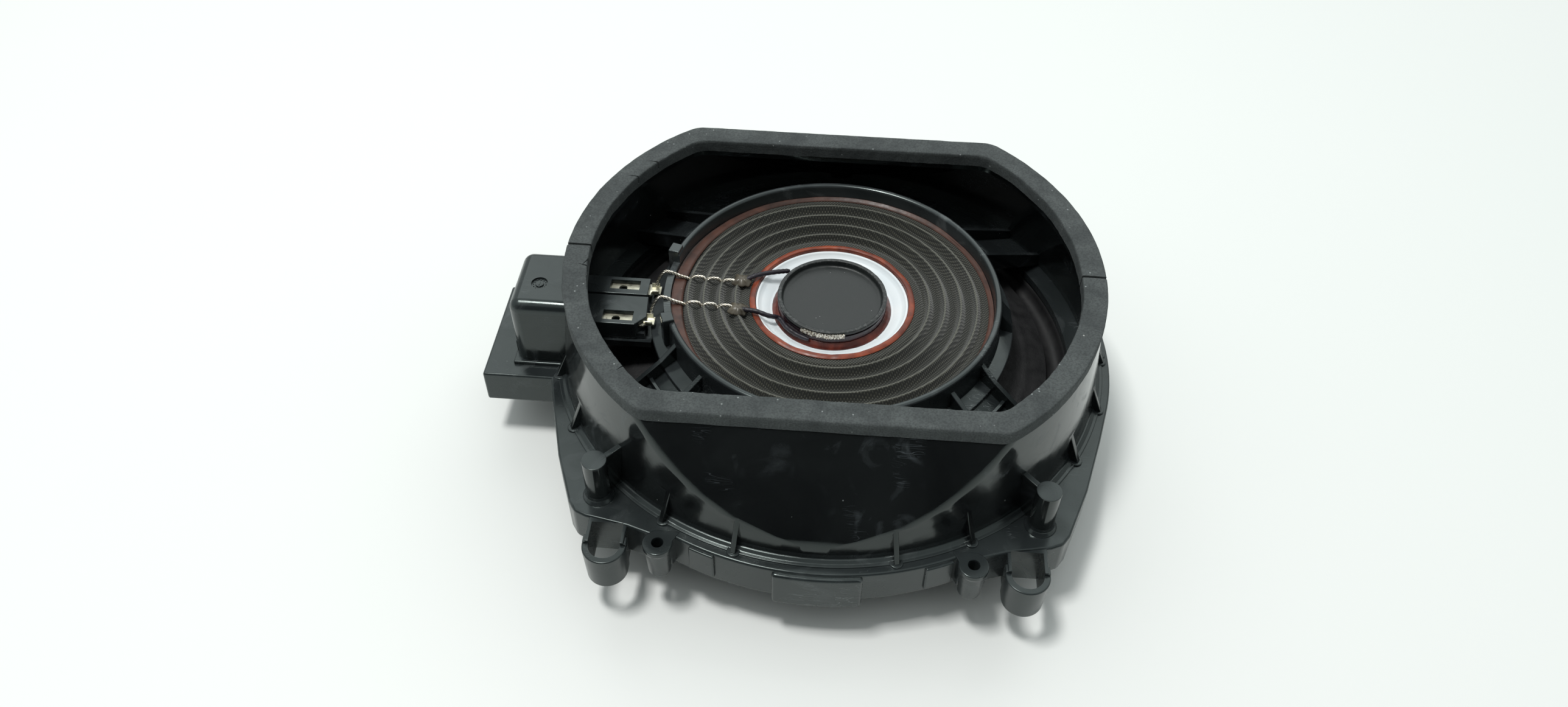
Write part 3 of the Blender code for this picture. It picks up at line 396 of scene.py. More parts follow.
LOOKS = {
    "gloss": moulded("duct_gloss", (0.0055, 0.0063, 0.0068), (0.010, 0.0115, 0.012), (0.070, 0.080, 0.088),
                     0.09, 0.22),
    "satin": moulded("frame_satin", (0.012, 0.0145, 0.0155), (0.020, 0.024, 0.0255), (0.10, 0.11, 0.115),
                     0.17, 0.33),
    "scuffed": moulded("ring_scuffed", (0.020, 0.0235, 0.025), (0.042, 0.048, 0.051), (0.20, 0.215, 0.22),
                       0.14, 0.32),
    "foam": foam_look(),
    "cloth": cloth_look(),
    "red_glue": glue_look("red_glue_bead", (0.125, 0.026, 0.014), (0.30, 0.060, 0.024), 0.34),
    "brown_glue": glue_look("brown_glue_band", (0.040, 0.018, 0.013), (0.090, 0.036, 0.024), 0.42),
    "maroon_glue": glue_look("maroon_fillet", (0.045, 0.008, 0.006), (0.13, 0.024, 0.014), 0.20),
    "clear_glue": glue_look("grey_glue_blob", (0.050, 0.043, 0.032), (0.125, 0.108, 0.080), 0.30),
    "white": white_look(),
    "band": band_look(),
    "cap": cap_look(),
    "copper": metal_look("enamelled_copper", (0.42, 0.14, 0.05), (0.62, 0.26, 0.11), 0.30),
    "gold": metal_look("gold_plating", (0.50, 0.48, 0.38), (0.72, 0.70, 0.58), 0.34,
                       tarnish=(0.26, 0.24, 0.18)),
    "silver": metal_look("tinsel_silver", (0.55, 0.50, 0.42), (0.92, 0.88, 0.80), 0.24,
                         tarnish=(0.20, 0.14, 0.09)),
    "steel": metal_look("zinc_plating", (0.42, 0.43, 0.44), (0.62, 0.63, 0.64), 0.34,
                        tarnish=(0.25, 0.25, 0.24)),
    "screw": metal_look("black_zinc", (0.035, 0.036, 0.038), (0.075, 0.077, 0.080), 0.34,
                        tarnish=(0.02, 0.02, 0.02)),
    "sleeve": skin_look("lead_sleeve_skin", (0.010, 0.008, 0.013), (0.026, 0.022, 0.032), 0.42, 0.5 * MM,
                        0.05 * MM),
    "cone": skin_look("pressed_paper", (0.008, 0.008, 0.009), (0.016, 0.016, 0.017), 0.62, 0.7 * MM,
                      0.12 * MM, 0.0),
    "rubber": skin_look("surround_skin", (0.011, 0.011, 0.012), (0.020, 0.020, 0.021), 0.52, 0.3 * MM,
                        0.03 * MM),
    "bridge": moulded("bridge_plastic_skin", (0.011, 0.012, 0.013), (0.020, 0.021, 0.022),
                      (0.07, 0.075, 0.08), 0.34, 0.5),
    "ferrite": skin_look("ferrite_skin", (0.030, 0.031, 0.033), (0.075, 0.077, 0.080), 0.55, 1.1 * MM,
                         0.12 * MM, 0.15),
}


# ---------------------------------------------------------------- mesh tools


def made_object(name, mesh):
    bmesh.ops.recalc_face_normals(mesh, faces=mesh.faces)
    data = bpy.data.meshes.new(name)
    mesh.to_mesh(data)
    mesh.free()
    made = bpy.data.objects.new(name, data)
    bpy.context.scene.collection.objects.link(made)
    return made


def applied(target):
    """The same object with its modifiers worked into its mesh."""
    graph = bpy.context.evaluated_depsgraph_get()
    result = bpy.data.meshes.new_from_object(target.evaluated_get(graph), depsgraph=graph)
    target.modifiers.clear()
    target.data = result
    return target


def softened(target, width, segments=3, angle=38):
    """Rounds every edge sharper than this angle."""
    step = target.modifiers.new("soft_edges", "BEVEL")
    step.width = width
    step.segments = segments
    step.limit_method = "ANGLE"
    step.angle_limit = radians(angle)
    step.use_clamp_overlap = True
    return applied(target)


def combined(target, operation, tools):
    """The target after one Boolean with each tool in turn. The tools are used up."""
    for tool in tools:
        step = target.modifiers.new(tool.name, "BOOLEAN")
        step.object = tool
        step.operation = operation
        step.solver = "MANIFOLD"
        applied(target)
        bpy.data.objects.remove(tool)
        if not target.data.polygons:
            raise RuntimeError(f"{target.name} was lost in a {operation}")
    return target


def joined(target, *tools):
    return combined(target, "UNION", tools)


def cut(target, *tools):
    return combined(target, "DIFFERENCE", tools)


def rounded(outline, radius, steps=3):
    """The closed outline with each corner turned into a short curve. Corners on the axis stay."""
    result = []
    count = len(outline)
    for index in range(count):
        here = Vector(outline[index])
        before, after = Vector(outline[index - 1]), Vector(outline[(index + 1) % count])
        if here.x == 0:
            result.append(tuple(here))
            continue
        reach = min(radius, (before - here).length * 0.45, (after - here).length * 0.45)
        first = here + (before - here).normalized() * reach
        last = here + (after - here).normalized() * reach
        for step in range(steps + 1):
            t = step / steps
            result.append(tuple(first * (1 - t) ** 2 + here * 2 * t * (1 - t) + last * t ** 2))
    return result


def spot(radius, angle):
    return (radius * cos(radians(angle)), radius * sin(radians(angle)))


def in_metres(points):
    return [(x * MM, y * MM) for x, y in points]


def above_flange(points):
    """An outline of (radius, height) from millimetres, with its heights above the flange."""
    return [(r * MM, FLANGE + z * MM) for r, z in points]


def ring_outline(inner, outer, low, high):
    """The outline of a plain ring, or of a solid rod where the inner radius is 0."""
    return [(inner, low), (outer, low), (outer, high), (inner, high)]


def turned(name, outline, segments=160, centre=(0.0, 0.0), shape=None):
    """A closed outline of (radius, height) turned about an upright axis. shape may move each point."""
    mesh = bmesh.new()
    rings = []
    for radius, height in outline:
        ring = []
        for step in range(segments if radius > 0 else 1):
            angle = 2 * pi * step / segments
            r, z = shape(radius, height, angle) if shape and radius > 0 else (radius, height)
            ring.append(mesh.verts.new((centre[0] + r * cos(angle), centre[1] + r * sin(angle), z)))
        rings.append(ring)
    for here, there in zip(rings, rings[1:] + rings[:1]):
        count = max(len(here), len(there))
        for step in range(count if count > 1 else 0):
            after = (step + 1) % count
            corners = [here[step % len(here)], here[after % len(here)],
                       there[after % len(there)], there[step % len(there)]]
            mesh.faces.new(list(dict.fromkeys(corners)))
    return made_object(name, mesh)


def lofted(name, sections, closed=False):
    """A skin through sections of equally many points, capped at both ends unless it closes on itself."""
    mesh = bmesh.new()
    rings = [[mesh.verts.new(point) for point in section] for section in sections]
    pairs = list(zip(rings, rings[1:] + rings[:1])) if closed else list(zip(rings, rings[1:]))
    for here, there in pairs:
        for step in range(len(here)):
            after = (step + 1) % len(here)
            mesh.faces.new((here[step], here[after], there[after], there[step]))
    if not closed:
        mesh.faces.new(rings[0])
        mesh.faces.new(rings[-1])
    return made_object(name, mesh)


def prism(name, outline, bottom, top):
    return lofted(name, [[(x, y, height) for x, y in outline] for height in (bottom, top)])


def block(name, low, high):
    mesh = bmesh.new()
    size = Vector(high) - Vector(low)
    place = Matrix.Translation((Vector(low) + Vector(high)) / 2) @ Matrix.Diagonal((*size, 1.0))
    bmesh.ops.create_cube(mesh, size=1.0, matrix=place)
    return made_object(name, mesh)


def soft_block(name, low, high, width, segments=3):
    """A block with soft edges, whose two corners give their heights above the flange."""
    low, high = ((x, y, FLANGE + z) for x, y, z in (low, high))
    return softened(block(name, low, high), width, segments)


def blade_slot(name, y, start, end):
    """Room for a contact blade, with a small gap on every side."""
    gap = 0.3 * MM
    reach = (BLADE_HIGH.y - BLADE_LOW.y) / 2 + gap
    return block(name, (start, y - reach, BLADE_LOW.z - gap), (end, y + reach, BLADE_HIGH.z + gap))


def fin(name, outline, half_thick, angle, middle=0.0):
    """A plate with an outline of (radius, height) that stands on a ray from the axis."""
    turn = Matrix.Rotation(radians(angle), 3, "Z")
    return lofted(name, [[turn @ Vector((radius, middle + side, height)) for radius, height in outline]
                         for side in (-half_thick, half_thick)])


def sector(name, inner, outer, start, end, bottom, top, steps=16):
    """A block bent round the axis between two radii and two angles."""
    angles = [start + (end - start) * step / steps for step in range(steps + 1)]
    outline = [spot(outer, angle) for angle in angles] + [spot(inner, angle) for angle in reversed(angles)]
    return prism(name, outline, bottom, top)


def flatted_circle(radius, flat, corner, height, arc_steps=40, corner_steps=8):
    """A circle cut by a front and a rear line at y = -flat and +flat, with rounded corners between."""
    lean = asin(min((flat - corner) / (radius - corner), sin(radians(87))))
    arc = [-lean + 2 * lean * step / arc_steps for step in range(arc_steps + 1)]
    right = [(radius * cos(a), radius * sin(a)) for a in arc]
    centre = ((radius - corner) * cos(lean), (radius - corner) * sin(lean))
    for step in range(1, corner_steps + 1):
        turn = lean + (pi / 2 - lean) * step / corner_steps
        right.append((centre[0] + corner * cos(turn), centre[1] + corner * sin(turn)))
    lower = [(x, -y) for x, y in reversed(right[arc_steps + 1:])]
    half = lower + right
    return [(x, y, height) for x, y in half] + [(-x, -y, height) for x, y in half]


def duct_section(rise, inset):
    """The duct's outline at this height above the flange, moved inwards by the inset."""
    radius = DUCT_BASE_RADIUS - (DUCT_BASE_RADIUS - DUCT_TOP_RADIUS) * rise / DUCT_HEIGHT - inset
    steepness = hypot(1, DUCT_FLAT_SLOPE)
    flat = DUCT_TOP_FLAT + (DUCT_HEIGHT - rise) * DUCT_FLAT_SLOPE - inset * steepness
    corner = DUCT_CORNER + DUCT_CORNER_GROWTH * (1 - rise / DUCT_HEIGHT) - inset
    return flatted_circle(radius, flat, corner, FLANGE + rise)


def flange_outline(wall):
    """The flange's outline, drawn for one quarter, mirrored twice and moved inwards by the wall."""
    radius = FLANGE_RADIUS / MM
    quarter = [spot(radius, CORNER_START * step / 6) for step in range(7)]
    quarter += CORNER
    quarter += [spot(radius, CORNER_END + (90 - CORNER_END) * step / 12) for step in range(13)]
    upper = quarter + [(-x, y) for x, y in reversed(quarter[:-1])]
    outline = upper + [(x, -y) for x, y in reversed(upper[1:-1])]
    scale = (FLANGE_RADIUS - wall) / radius
    return [(x * scale, y * scale) for x, y in outline]


def wavy(place, size, amount):
    """A smooth seeded unevenness of up to this amount at this place."""
    return noise.noise(Vector(place) / size) * amount


def shown(target, looks, body=None, nodes=(), sharp=38):
    """Gives a finished piece its materials, its shading and the body it rides on, and hides the CAD nodes it
    stands for.
    """
    target.data.materials.clear()
    for look in looks if isinstance(looks, tuple) else (looks,):
        target.data.materials.append(LOOKS[look])
    target.data.shade_smooth()
    target.data.set_sharp_from_angle(angle=radians(sharp))
    even = target.modifiers.new("even_normals", "WEIGHTED_NORMAL")
    even.keep_sharp = True
    if body:
        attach(target, body)
    if nodes:
        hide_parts(*nodes)
    return target


def bends(target, inner, outer):
    """The piece follows the diaphragm inside the inner radius and the basket outside the outer one."""
    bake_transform(target, "basket", "diaphragm", start=(outer, 0, 0), end=(inner, 0, 0))
    weights = target.data.attributes["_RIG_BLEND"]
    for vertex, weight in zip(target.data.vertices, weights.data):
        t = (outer - hypot(vertex.co.x, vertex.co.y)) / (outer - inner)
        t = min(max(t, 0.0), 1.0)
        weight.value = t * t * (3 - 2 * t)
    return target


# ---------------------------------------------------------------- basket

CORNERS = ((1, 1), (-1, 1), (1, -1), (-1, -1))


def hook(flip_x, flip_y):
    """A tall half tube that stands off the flange's edge, with thinner arms and the slot through it."""
    x, y = HOOK_X * flip_x, HOOK_Y * flip_y
    root = 84.0 * MM * flip_y

    def ear(radius, inner_end, low, high, lean=0.0):
        sections = []
        for height, size in ((low, radius - lean), (high, radius)):
            turns = [pi * step / 24 for step in range(25)]
            outline = [(x + size * cos(t), y + size * sin(t) * flip_y, height) for t in turns]
            sections.append([(x + size, inner_end, height), *outline, (x - size, inner_end, height)])
        return lofted("ear", sections)

    solid = softened(ear(HOOK_RADIUS, 93.0 * MM * flip_y, HOOK_LOW, FLANGE - 1.8 * MM, 0.6 * MM), 0.5 * MM)
    thin = HOOK_RADIUS - 0.9 * MM
    arms = [(x - thin, root), (x + thin, root), (x + thin, y), (x - thin, y)]
    joined(solid, softened(prism("arms", arms, HOOK_LOW + MM, FLANGE - 0.4 * MM), 0.3 * MM))
    near, far = sorted((y, y - 3 * MM * flip_y))
    for side in (-1, 1):
        stub_x, half = x + side * (HOOK_RADIUS - 1.1 * MM), 0.9 * MM
        joined(solid, soft_block("stub", (stub_x - half, near, -6 * MM), (stub_x + half, far, -MM),
                                 0.25 * MM))
    slot = ear(HOOK_SLOT, 88.3 * MM * flip_y, HOOK_LOW - 5 * MM, FLANGE + 5 * MM)
    return solid, slot


def boss(flip_x, flip_y):
    """A screw boss on the edge of the flange, and the hole through it."""
    x, y = BOSS_X * flip_x, BOSS_Y * flip_y
    low = FLANGE - SKIRT_DEPTH
    outline = rounded([(0, low), (BOSS_RADIUS - 1.2 * MM, low), (BOSS_RADIUS - 0.2 * MM, FLANGE - 2.2 * MM),
                       (BOSS_RADIUS, FLANGE - 1.6 * MM), (BOSS_RADIUS, FLANGE + 0.2 * MM),
                       (0, FLANGE + 0.2 * MM)],
                      0.4 * MM)
    solid = turned("boss", outline, 48, (x, y))
    reach = 4.2 * MM
    neck = [(x - reach, y), (x + reach, y), (x * 0.95 + reach, y * 0.95), (x * 0.95 - reach, y * 0.95)]
    joined(solid, softened(prism("neck", neck, low + 2 * MM, FLANGE + 0.2 * MM), 0.3 * MM))
    hole = turned("hole", [(0, low - MM), (BOSS_HOLE, low - MM), (BOSS_HOLE, FLANGE - 0.4 * MM),
                           (BOSS_HOLE + 0.7 * MM, FLANGE + MM), (0, FLANGE + MM)], 32, (x, y))
    return solid, hole


def post(flip_x, flip_y):
    """A round post on the flange, with a web that ties it to the duct."""
    x, y = POST[0] * flip_x, POST[1] * flip_y
    top = FLANGE + POST_HEIGHT
    foot = [(0, FLANGE - MM), (POST_RADIUS + 1.4 * MM, FLANGE - MM),
            (POST_RADIUS + 1.2 * MM, FLANGE + 0.3 * MM),
            (POST_RADIUS + 0.3 * MM, FLANGE + 1.3 * MM), (POST_RADIUS, FLANGE + 3 * MM), (POST_RADIUS, top),
            (0, top)]
    solid = turned("post", rounded(foot, 0.3 * MM, 2), 48, (x, y))
    along = Vector((x, y)).normalized()
    across = Vector((-along.y, along.x)) * MM
    start, end = Vector((x, y)), along * 88 * MM
    web = [tuple(point) for point in (start + across, end + across, end - across, start - across)]
    return joined(solid, softened(prism("web", web, FLANGE - MM, top - 1.2 * MM), 0.3 * MM))


def gusset(angle):
    """A thin wedge on the duct's foot, with a small rounded pad where it ends on the flange."""
    wedge = [(91.3 * MM, FLANGE - 1.3 * MM), (GUSSET_FOOT, FLANGE - 1.3 * MM),
             (GUSSET_FOOT, FLANGE + 0.9 * MM),
             (95.6 * MM, FLANGE + GUSSET_HEIGHT), (91.3 * MM, FLANGE + GUSSET_HEIGHT)]
    solid = softened(fin("gusset", wedge, 0.9 * MM, angle), 0.35 * MM)
    x, y = spot(GUSSET_FOOT - 1.1 * MM, angle)
    pad = [(0, FLANGE - MM), (2.3 * MM, FLANGE - MM), (2.2 * MM, FLANGE + 0.6 * MM), (0, FLANGE + 0.6 * MM)]
    return joined(solid, turned("pad", rounded(pad, 0.3 * MM), 24, (x, y)))


def connector_outside():
    """The tray, the hood that stands on it, and the hood's foot, latch and rib."""
    foot = 1.2 * MM
    parts = (("base", (TRAY_LEFT, TRAY_FRONT, -TRAY_DEPTH), (-97 * MM, TRAY_BACK, 0), 0.9 * MM),
             ("hood", (HOOD_LEFT, HOOD_FRONT, -6 * MM), (-80 * MM, HOOD_BACK, HOOD_HEIGHT), 4.0 * MM, 8),
             ("foot", (HOOD_LEFT - foot, HOOD_FRONT - foot, -MM), (-96 * MM, HOOD_BACK + foot, 1.4 * MM),
              0.5 * MM),
             ("latch", (HOOD_LEFT - 2.2 * MM, -11 * MM, 4.2 * MM), (HOOD_LEFT + MM, 0.0, 7 * MM), 0.6 * MM),
             ("rib", (HOOD_LEFT - 0.9 * MM, -16 * MM, 0.5 * MM), (HOOD_LEFT + MM, -14.4 * MM, 6.4 * MM),
              0.3 * MM))
    return joined(*(soft_block(*part) for part in parts))


def connector_inside(body):
    """The tray's room, the socket with its blade slits, and the dial with its pointer and ring of ticks."""
    wall = 2.2 * MM
    cut(body, block("tray_room", (TRAY_LEFT + wall, TRAY_FRONT + wall, FLANGE - 20 * MM),
                    (-106.5 * MM, TRAY_BACK - wall, FLANGE - FLANGE_THICK)))
    cut(body, soft_block("socket", (HOOD_LEFT - 6 * MM, SOCKET_FRONT, SOCKET_BOTTOM),
                         (SOCKET_END, SOCKET_BACK, SOCKET_TOP), 1.5 * MM))
    for y in BLADE_YS:
        cut(body, blade_slot("slit", y, SOCKET_END - MM, -90 * MM))
    top = FLANGE + HOOD_HEIGHT
    cut(body, turned("dial", [(0, top - 0.7 * MM), (DIAL_RADIUS, top - 0.7 * MM),
                              (DIAL_RADIUS + 0.15 * MM, top + MM), (0, top + MM)], 40, DIAL))
    disc = rounded(ring_outline(0, 1.5 * MM, top - MM, top - 0.25 * MM), 0.15 * MM)
    marks = [turned("disc", disc, 32, DIAL),
             block("pointer", (DIAL[0] - 0.18 * MM, DIAL[1] - 0.9 * MM, top - 0.5 * MM),
                   (DIAL[0] + 0.18 * MM, DIAL[1] + 0.9 * MM, top - 0.05 * MM))]
    tick = ring_outline(0, 0.2 * MM, top - MM, top - 0.45 * MM)
    for turn in range(12):
        x, y = spot(2.25 * MM, turn * 30)
        marks.append(turned("tick", tick, 8, (DIAL[0] + x, DIAL[1] + y)))
    joined(body, *marks)


def carrier_ring():
    """The ring that the spider is glued to, its four spokes and the shelf under the terminals."""
    rim = [(52.5, 20.4), (57.9, 20.4), (57.9, 27.2), (58.5, 27.8), (59.6, 27.8), (60.2, 27.2), (60.6, 17.0),
           (65.5, 15.5), (65.5, 13.5), (59.5, 14.3), (58.2, 18.0), (52.5, 18.2)]
    ring = turned("ring", rounded(above_flange(rim), 0.4 * MM, 2))
    for start, end in ((198.5, 203.0), (163.5, 168.0)):
        lug = sector("lug", 58.2 * MM, 62.3 * MM, start, end, FLANGE + 17 * MM, FLANGE + 29 * MM, 4)
        joined(ring, softened(lug, 0.4 * MM))
    cut(ring, sector("notch", 56 * MM, 66 * MM, 168, 198.5, FLANGE + 24 * MM, FLANGE + 32 * MM))
    for angle in SPOKE_ANGLES:
        floor = above_flange([(61, 15.4), (61, 13.4), (96.2, -1.2), (96.2, 1.2)])
        rib = above_flange([(59.1, 24), (59.1, 14.6), (95.9, -0.4), (95.9, 5), (66, 19)])
        spoke = fin("spoke", floor, SPOKE_HALF_WIDTH, angle)
        for side in (-1, 1):
            middle = side * (SPOKE_HALF_WIDTH - 0.6 * MM)
            joined(spoke, softened(fin("rib", rib, 0.95 * MM, angle, middle), 0.3 * MM))
        spread = 7.0
        joined(spoke, softened(sector("arc", 70.2 * MM, 71.6 * MM, angle - spread, angle + spread,
                                      FLANGE + 8.4 * MM, FLANGE + 14.0 * MM), 0.3 * MM))
        joined(ring, spoke)
    stay = above_flange([(59.5, 14), (65.3, 14), (64.5, 19), (59.5, 25)])
    joined(ring, softened(fin("stay", stay, 4.2 * MM, -1.0), 0.4 * MM))
    shelf = ring_outline(-96.0, -63.5, -18.5, 8.5)
    joined(ring, prism("shelf", in_metres(shelf), FLANGE + 10 * MM, ARM_BOTTOM - 0.3 * MM))
    return ring


def basket_shell():
    """The whole moulding: a satin frame, a polished duct wall and a scuffed carrier ring."""
    rises = [r * MM for r in (-0.5, 1, 3, 6, 9, 13, 18, 23, 28, 32)] + [DUCT_HEIGHT]
    body = lofted("basket_shell", [duct_section(rise, 0.0) for rise in rises])
    flange = prism("flange", flange_outline(0.0), FLANGE - SKIRT_DEPTH, FLANGE)
    joined(body, softened(flange, 0.9 * MM, 4, 30))
    ledge = above_flange([(90, -1), (100.2, -1), (100.2, 0.4), (99.0, 0.5), (97.9, 1.3), (90, 1.3)])
    joined(body, turned("ledge", rounded(ledge, 0.3 * MM)))
    joined(body, *(gusset(side * angle) for side in (-1, 1) for angle in GUSSET_ANGLES))
    holes = []
    for corner in CORNERS:
        joined(body, post(*corner))
        for solid, hole in (hook(*corner), boss(*corner)):
            joined(body, solid)
            holes.append(hole)
    for flip in (1, -1):
        for start, end, reach, depth in PADS:
            pad = sector("pad", 98 * MM, reach * MM, start * flip, end * flip,
                         FLANGE - depth * MM, FLANGE - 0.8 * MM)
            joined(body, softened(pad, 1.1 * MM, 4))
    joined(body, connector_outside())
    rises = [r * MM for r in (0, 3, 6, 9, 13, 18, 24)] + [DUCT_HEIGHT - LIP_THICK]
    cut(body, lofted("cavity", [duct_section(rise, DUCT_WALL) for rise in rises]))
    cut(body, lofted("mouth", [flatted_circle(OPENING_RADIUS, OPENING_FLAT, DUCT_CORNER,
                                              FLANGE + DUCT_HEIGHT + rise)
                               for rise in (-LIP_THICK - MM, MM)]))
    low, high = FLANGE - 20 * MM, FLANGE - FLANGE_THICK
    cut(body, prism("skirt_room", flange_outline(SKIRT_WALL), low, high))
    cut(body, turned("landing", ring_outline(0, LANDING_RADIUS, high - MM, FLANGE + MM)))
    cut(body, *holes)
    connector_inside(body)
    joined(body, carrier_ring())
    low = BRIDGE_RING[3] + 0.3 * MM
    for angle in BRIDGE_SCREW_ANGLES:
        place = spot(BRIDGE_SCREW_RADIUS, angle)
        joined(body, turned("pillar", ring_outline(0, 3.2 * MM, low, FLANGE - 2 * MM), 32, place))
        cut(body, turned("bore", ring_outline(0, 1.5 * MM, low - MM, FLANGE - 1.6 * MM), 24, place))
    shown(body, ("satin", "gloss", "scuffed"), "basket", ["basket"])
    gloss, scuffed = 1, 2
    for face in body.data.polygons:
        reach = hypot(face.center.x, face.center.y)
        wall = face.center.z > FLANGE + 2.5 * MM and reach > 66 * MM and face.center.x > -97.5 * MM
        if wall and abs(face.normal.z) < 0.8:
            face.material_index = gloss
        if face.center.z > FLANGE + 1.6 * MM and reach < 90 * MM and not wall:
            face.material_index = scuffed
    return body


# ---------------------------------------------------------------- foam gasket


def foam_half(name, side, node):
    """Half of the foam strip: a cut edge that wanders a little, soft corners and two short slits."""
    outer = flatted_circle(FOAM_OUTER[0], FOAM_OUTER[1], DUCT_CORNER, 0.0, 150, 18)
    inner = flatted_circle(FOAM_INNER[0], FOAM_INNER[1], DUCT_CORNER - MM, 0.0, 150, 18)
    middle = sum(1 for x, *_ in outer if x > 0) // 2
    order = [(middle + step) % len(outer) for step in range(len(outer) + 1)]
    stations = []
    for here, there in zip(order, order[1:]):
        if (outer[here][1] + outer[there][1]) * side < 0:
            continue
        length = (Vector(outer[there]) - Vector(outer[here])).length
        pieces = max(1, round(length / (1.2 * MM)))
        for step in range(pieces):
            t = step / pieces
            stations.append((Vector(outer[here]).lerp(Vector(outer[there]), t),
                             Vector(inner[here]).lerp(Vector(inner[there]), t)))
    high = FOAM_HIGH - FOAM_LOW
    section = [(0.0, 0.0), (0.0, 0.35), (0.0, 0.7), (0.0, 0.93), (0.05, 0.99)]
    section += [(u, 1.0) for u in (0.12, 0.25, 0.4, 0.55, 0.7, 0.82, 0.9)]
    section += [(0.96, 0.99), (1.0, 0.93), (1.0, 0.7), (1.0, 0.35), (1.0, 0.0)]
    rings = []
    for out, into in stations:
        ring = []
        for u, v in section:
            point = out.lerp(into, u)
            point.z = FOAM_LOW + v * high
            across = (into - out).normalized()
            ragged = wavy(point, 2.2 * MM, 0.16 * MM) + wavy(point, 9 * MM, 0.30 * MM)
            point += across * ragged * (1.0 if u > 0.5 else 0.5)
            if v > 0.9:
                point.z += wavy(point, 5 * MM, 0.12 * MM) - 0.08 * MM
            ring.append(point)
        rings.append(ring)
    strip = lofted(name, rings)
    if side > 0:
        slits = [slit(151.5, 86.2 * MM, 4.2 * MM, 24), slit(144.0, 86.2 * MM, 3.6 * MM, 30)]
    else:
        slits = [slit(184.4, 86.4 * MM, 3.0 * MM, 60), slit(187.0, 86.6 * MM, 2.4 * MM, -20),
                 slit(221.0, 86.2 * MM, 2.2 * MM, 10)]
    cut(strip, *slits)
    shown(strip, "foam", "basket", [node], 60)
    return strip


def slit(angle, radius, length, slant):
    """A narrow wedge that opens from the foam's inner edge."""
    x, y = spot(radius - MM, angle)
    along = Vector((cos(radians(angle + slant)), sin(radians(angle + slant))))
    across = Vector((-along.y, along.x))
    start, end = Vector((x, y)), Vector((x, y)) + along * (length + MM)
    wide, narrow = across * 0.32 * MM, across * 0.05 * MM
    outline = [start - wide, end - narrow, end + narrow, start + wide]
    return prism("slit", [tuple(point) for point in outline], FOAM_LOW + 1.5 * MM, FOAM_HIGH + MM)


# ---------------------------------------------------------------- terminals


def window_outline(y, flare):
    """The window over a blade's end, wider by the flare on every side."""
    left, right, half = WINDOW
    return ring_outline(left - flare, right + flare, y - half - flare, y + half + flare)


def terminals():
    """The terminal carrier with its two windows, and the two contact blades with their crimp wings."""
    upper = ring_outline(-90.3, -66.8, -1.9, 7.0)
    lower = [(-90.3, -17.4), (-69.2, -17.4), (-65.4, -13.0), (-66.2, -2.7), (-90.3, -2.7)]
    body, arm = (softened(prism(name, in_metres(outline), ARM_BOTTOM, ARM_TOP), 0.35 * MM)
                 for name, outline in (("terminal_block", upper), ("arm", lower)))
    joined(body, arm, block("floor", (-90.2 * MM, -17.0 * MM, ARM_BOTTOM),
                            (-66.0 * MM, 6.6 * MM, ARM_BOTTOM + 2.4 * MM)))
    for y in BLADE_YS:
        cut(body, blade_slot("channel", y, -95 * MM, -60 * MM))
        levels = ((0.0, BLADE_LOW.z - 1.2 * MM), (0.0, ARM_TOP - 0.5 * MM), (0.35 * MM, ARM_TOP + 0.5 * MM))
        cut(body, lofted("window", [[(a, b, z) for a, b in window_outline(y, flare)] for flare, z in levels]))
    shown(body, "satin", "basket", ["terminal_carrier"])
    half = (BLADE_HIGH.y - BLADE_LOW.y) / 2
    for name, y in (("contact_positive", BLADE_YS[0]), ("contact_negative", BLADE_YS[1])):
        low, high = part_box(name)
        edge = [(low.x, half - 1.0 * MM), (low.x + 3.0 * MM, half), (-66.4 * MM, half),
                (-65.4 * MM, half - 0.9 * MM), (high.x, half - 0.9 * MM)]
        blade = [(x, y - reach) for x, reach in edge] + [(x, y + reach) for x, reach in reversed(edge)]
        strip = prism(name + "_blade", blade, low.z, high.z)
        eye = ring_outline(0, BLADE_HOLE[1], low.z - MM, high.z + MM)
        cut(strip, turned("eye", eye, 40, (BLADE_HOLE[0], y)))
        softened(strip, 0.12 * MM, 2)
        for side in (-1, 1):
            wing = [Vector((x, y + side * 1.2 * MM, high.z - 0.2 * MM)) for x in (-66.2 * MM, -63.2 * MM)]
            rise, shift = Vector((0, side * 0.7 * MM, 1.7 * MM)), Vector((0, side * 0.35 * MM, -0.1 * MM))
            inner = [wing[0], wing[1], wing[1] + rise, wing[0] + rise]
            joined(strip, softened(lofted("wing", [inner, [point + shift for point in inner]]), 0.08 * MM, 2))
        shown(strip, "gold", "basket", [name])


# ---------------------------------------------------------------- spider, coil and glue


def spider_height(radius):
    """The height of the cloth's middle at this radius: a flat, then rolls, then the outer seat."""
    pitch = RIDGE_RADII[1] - RIDGE_RADII[0]
    start, end = RIDGE_RADII[0] - pitch / 2, RIDGE_RADII[-1] + pitch / 2
    if start < radius < end:
        swing = cos(2 * pi * (radius - RIDGE_RADII[0]) / pitch)
        fade = min(1.0, (radius - start) / (2 * MM), (end - radius) / (2 * MM))
        lift = RIDGE_HEIGHT * (swing + 0.28 * (cos(4 * pi * (radius - RIDGE_RADII[0]) / pitch) - 0.4))
        return SPIDER_LEVEL + lift * fade
    return SPIDER_LEVEL


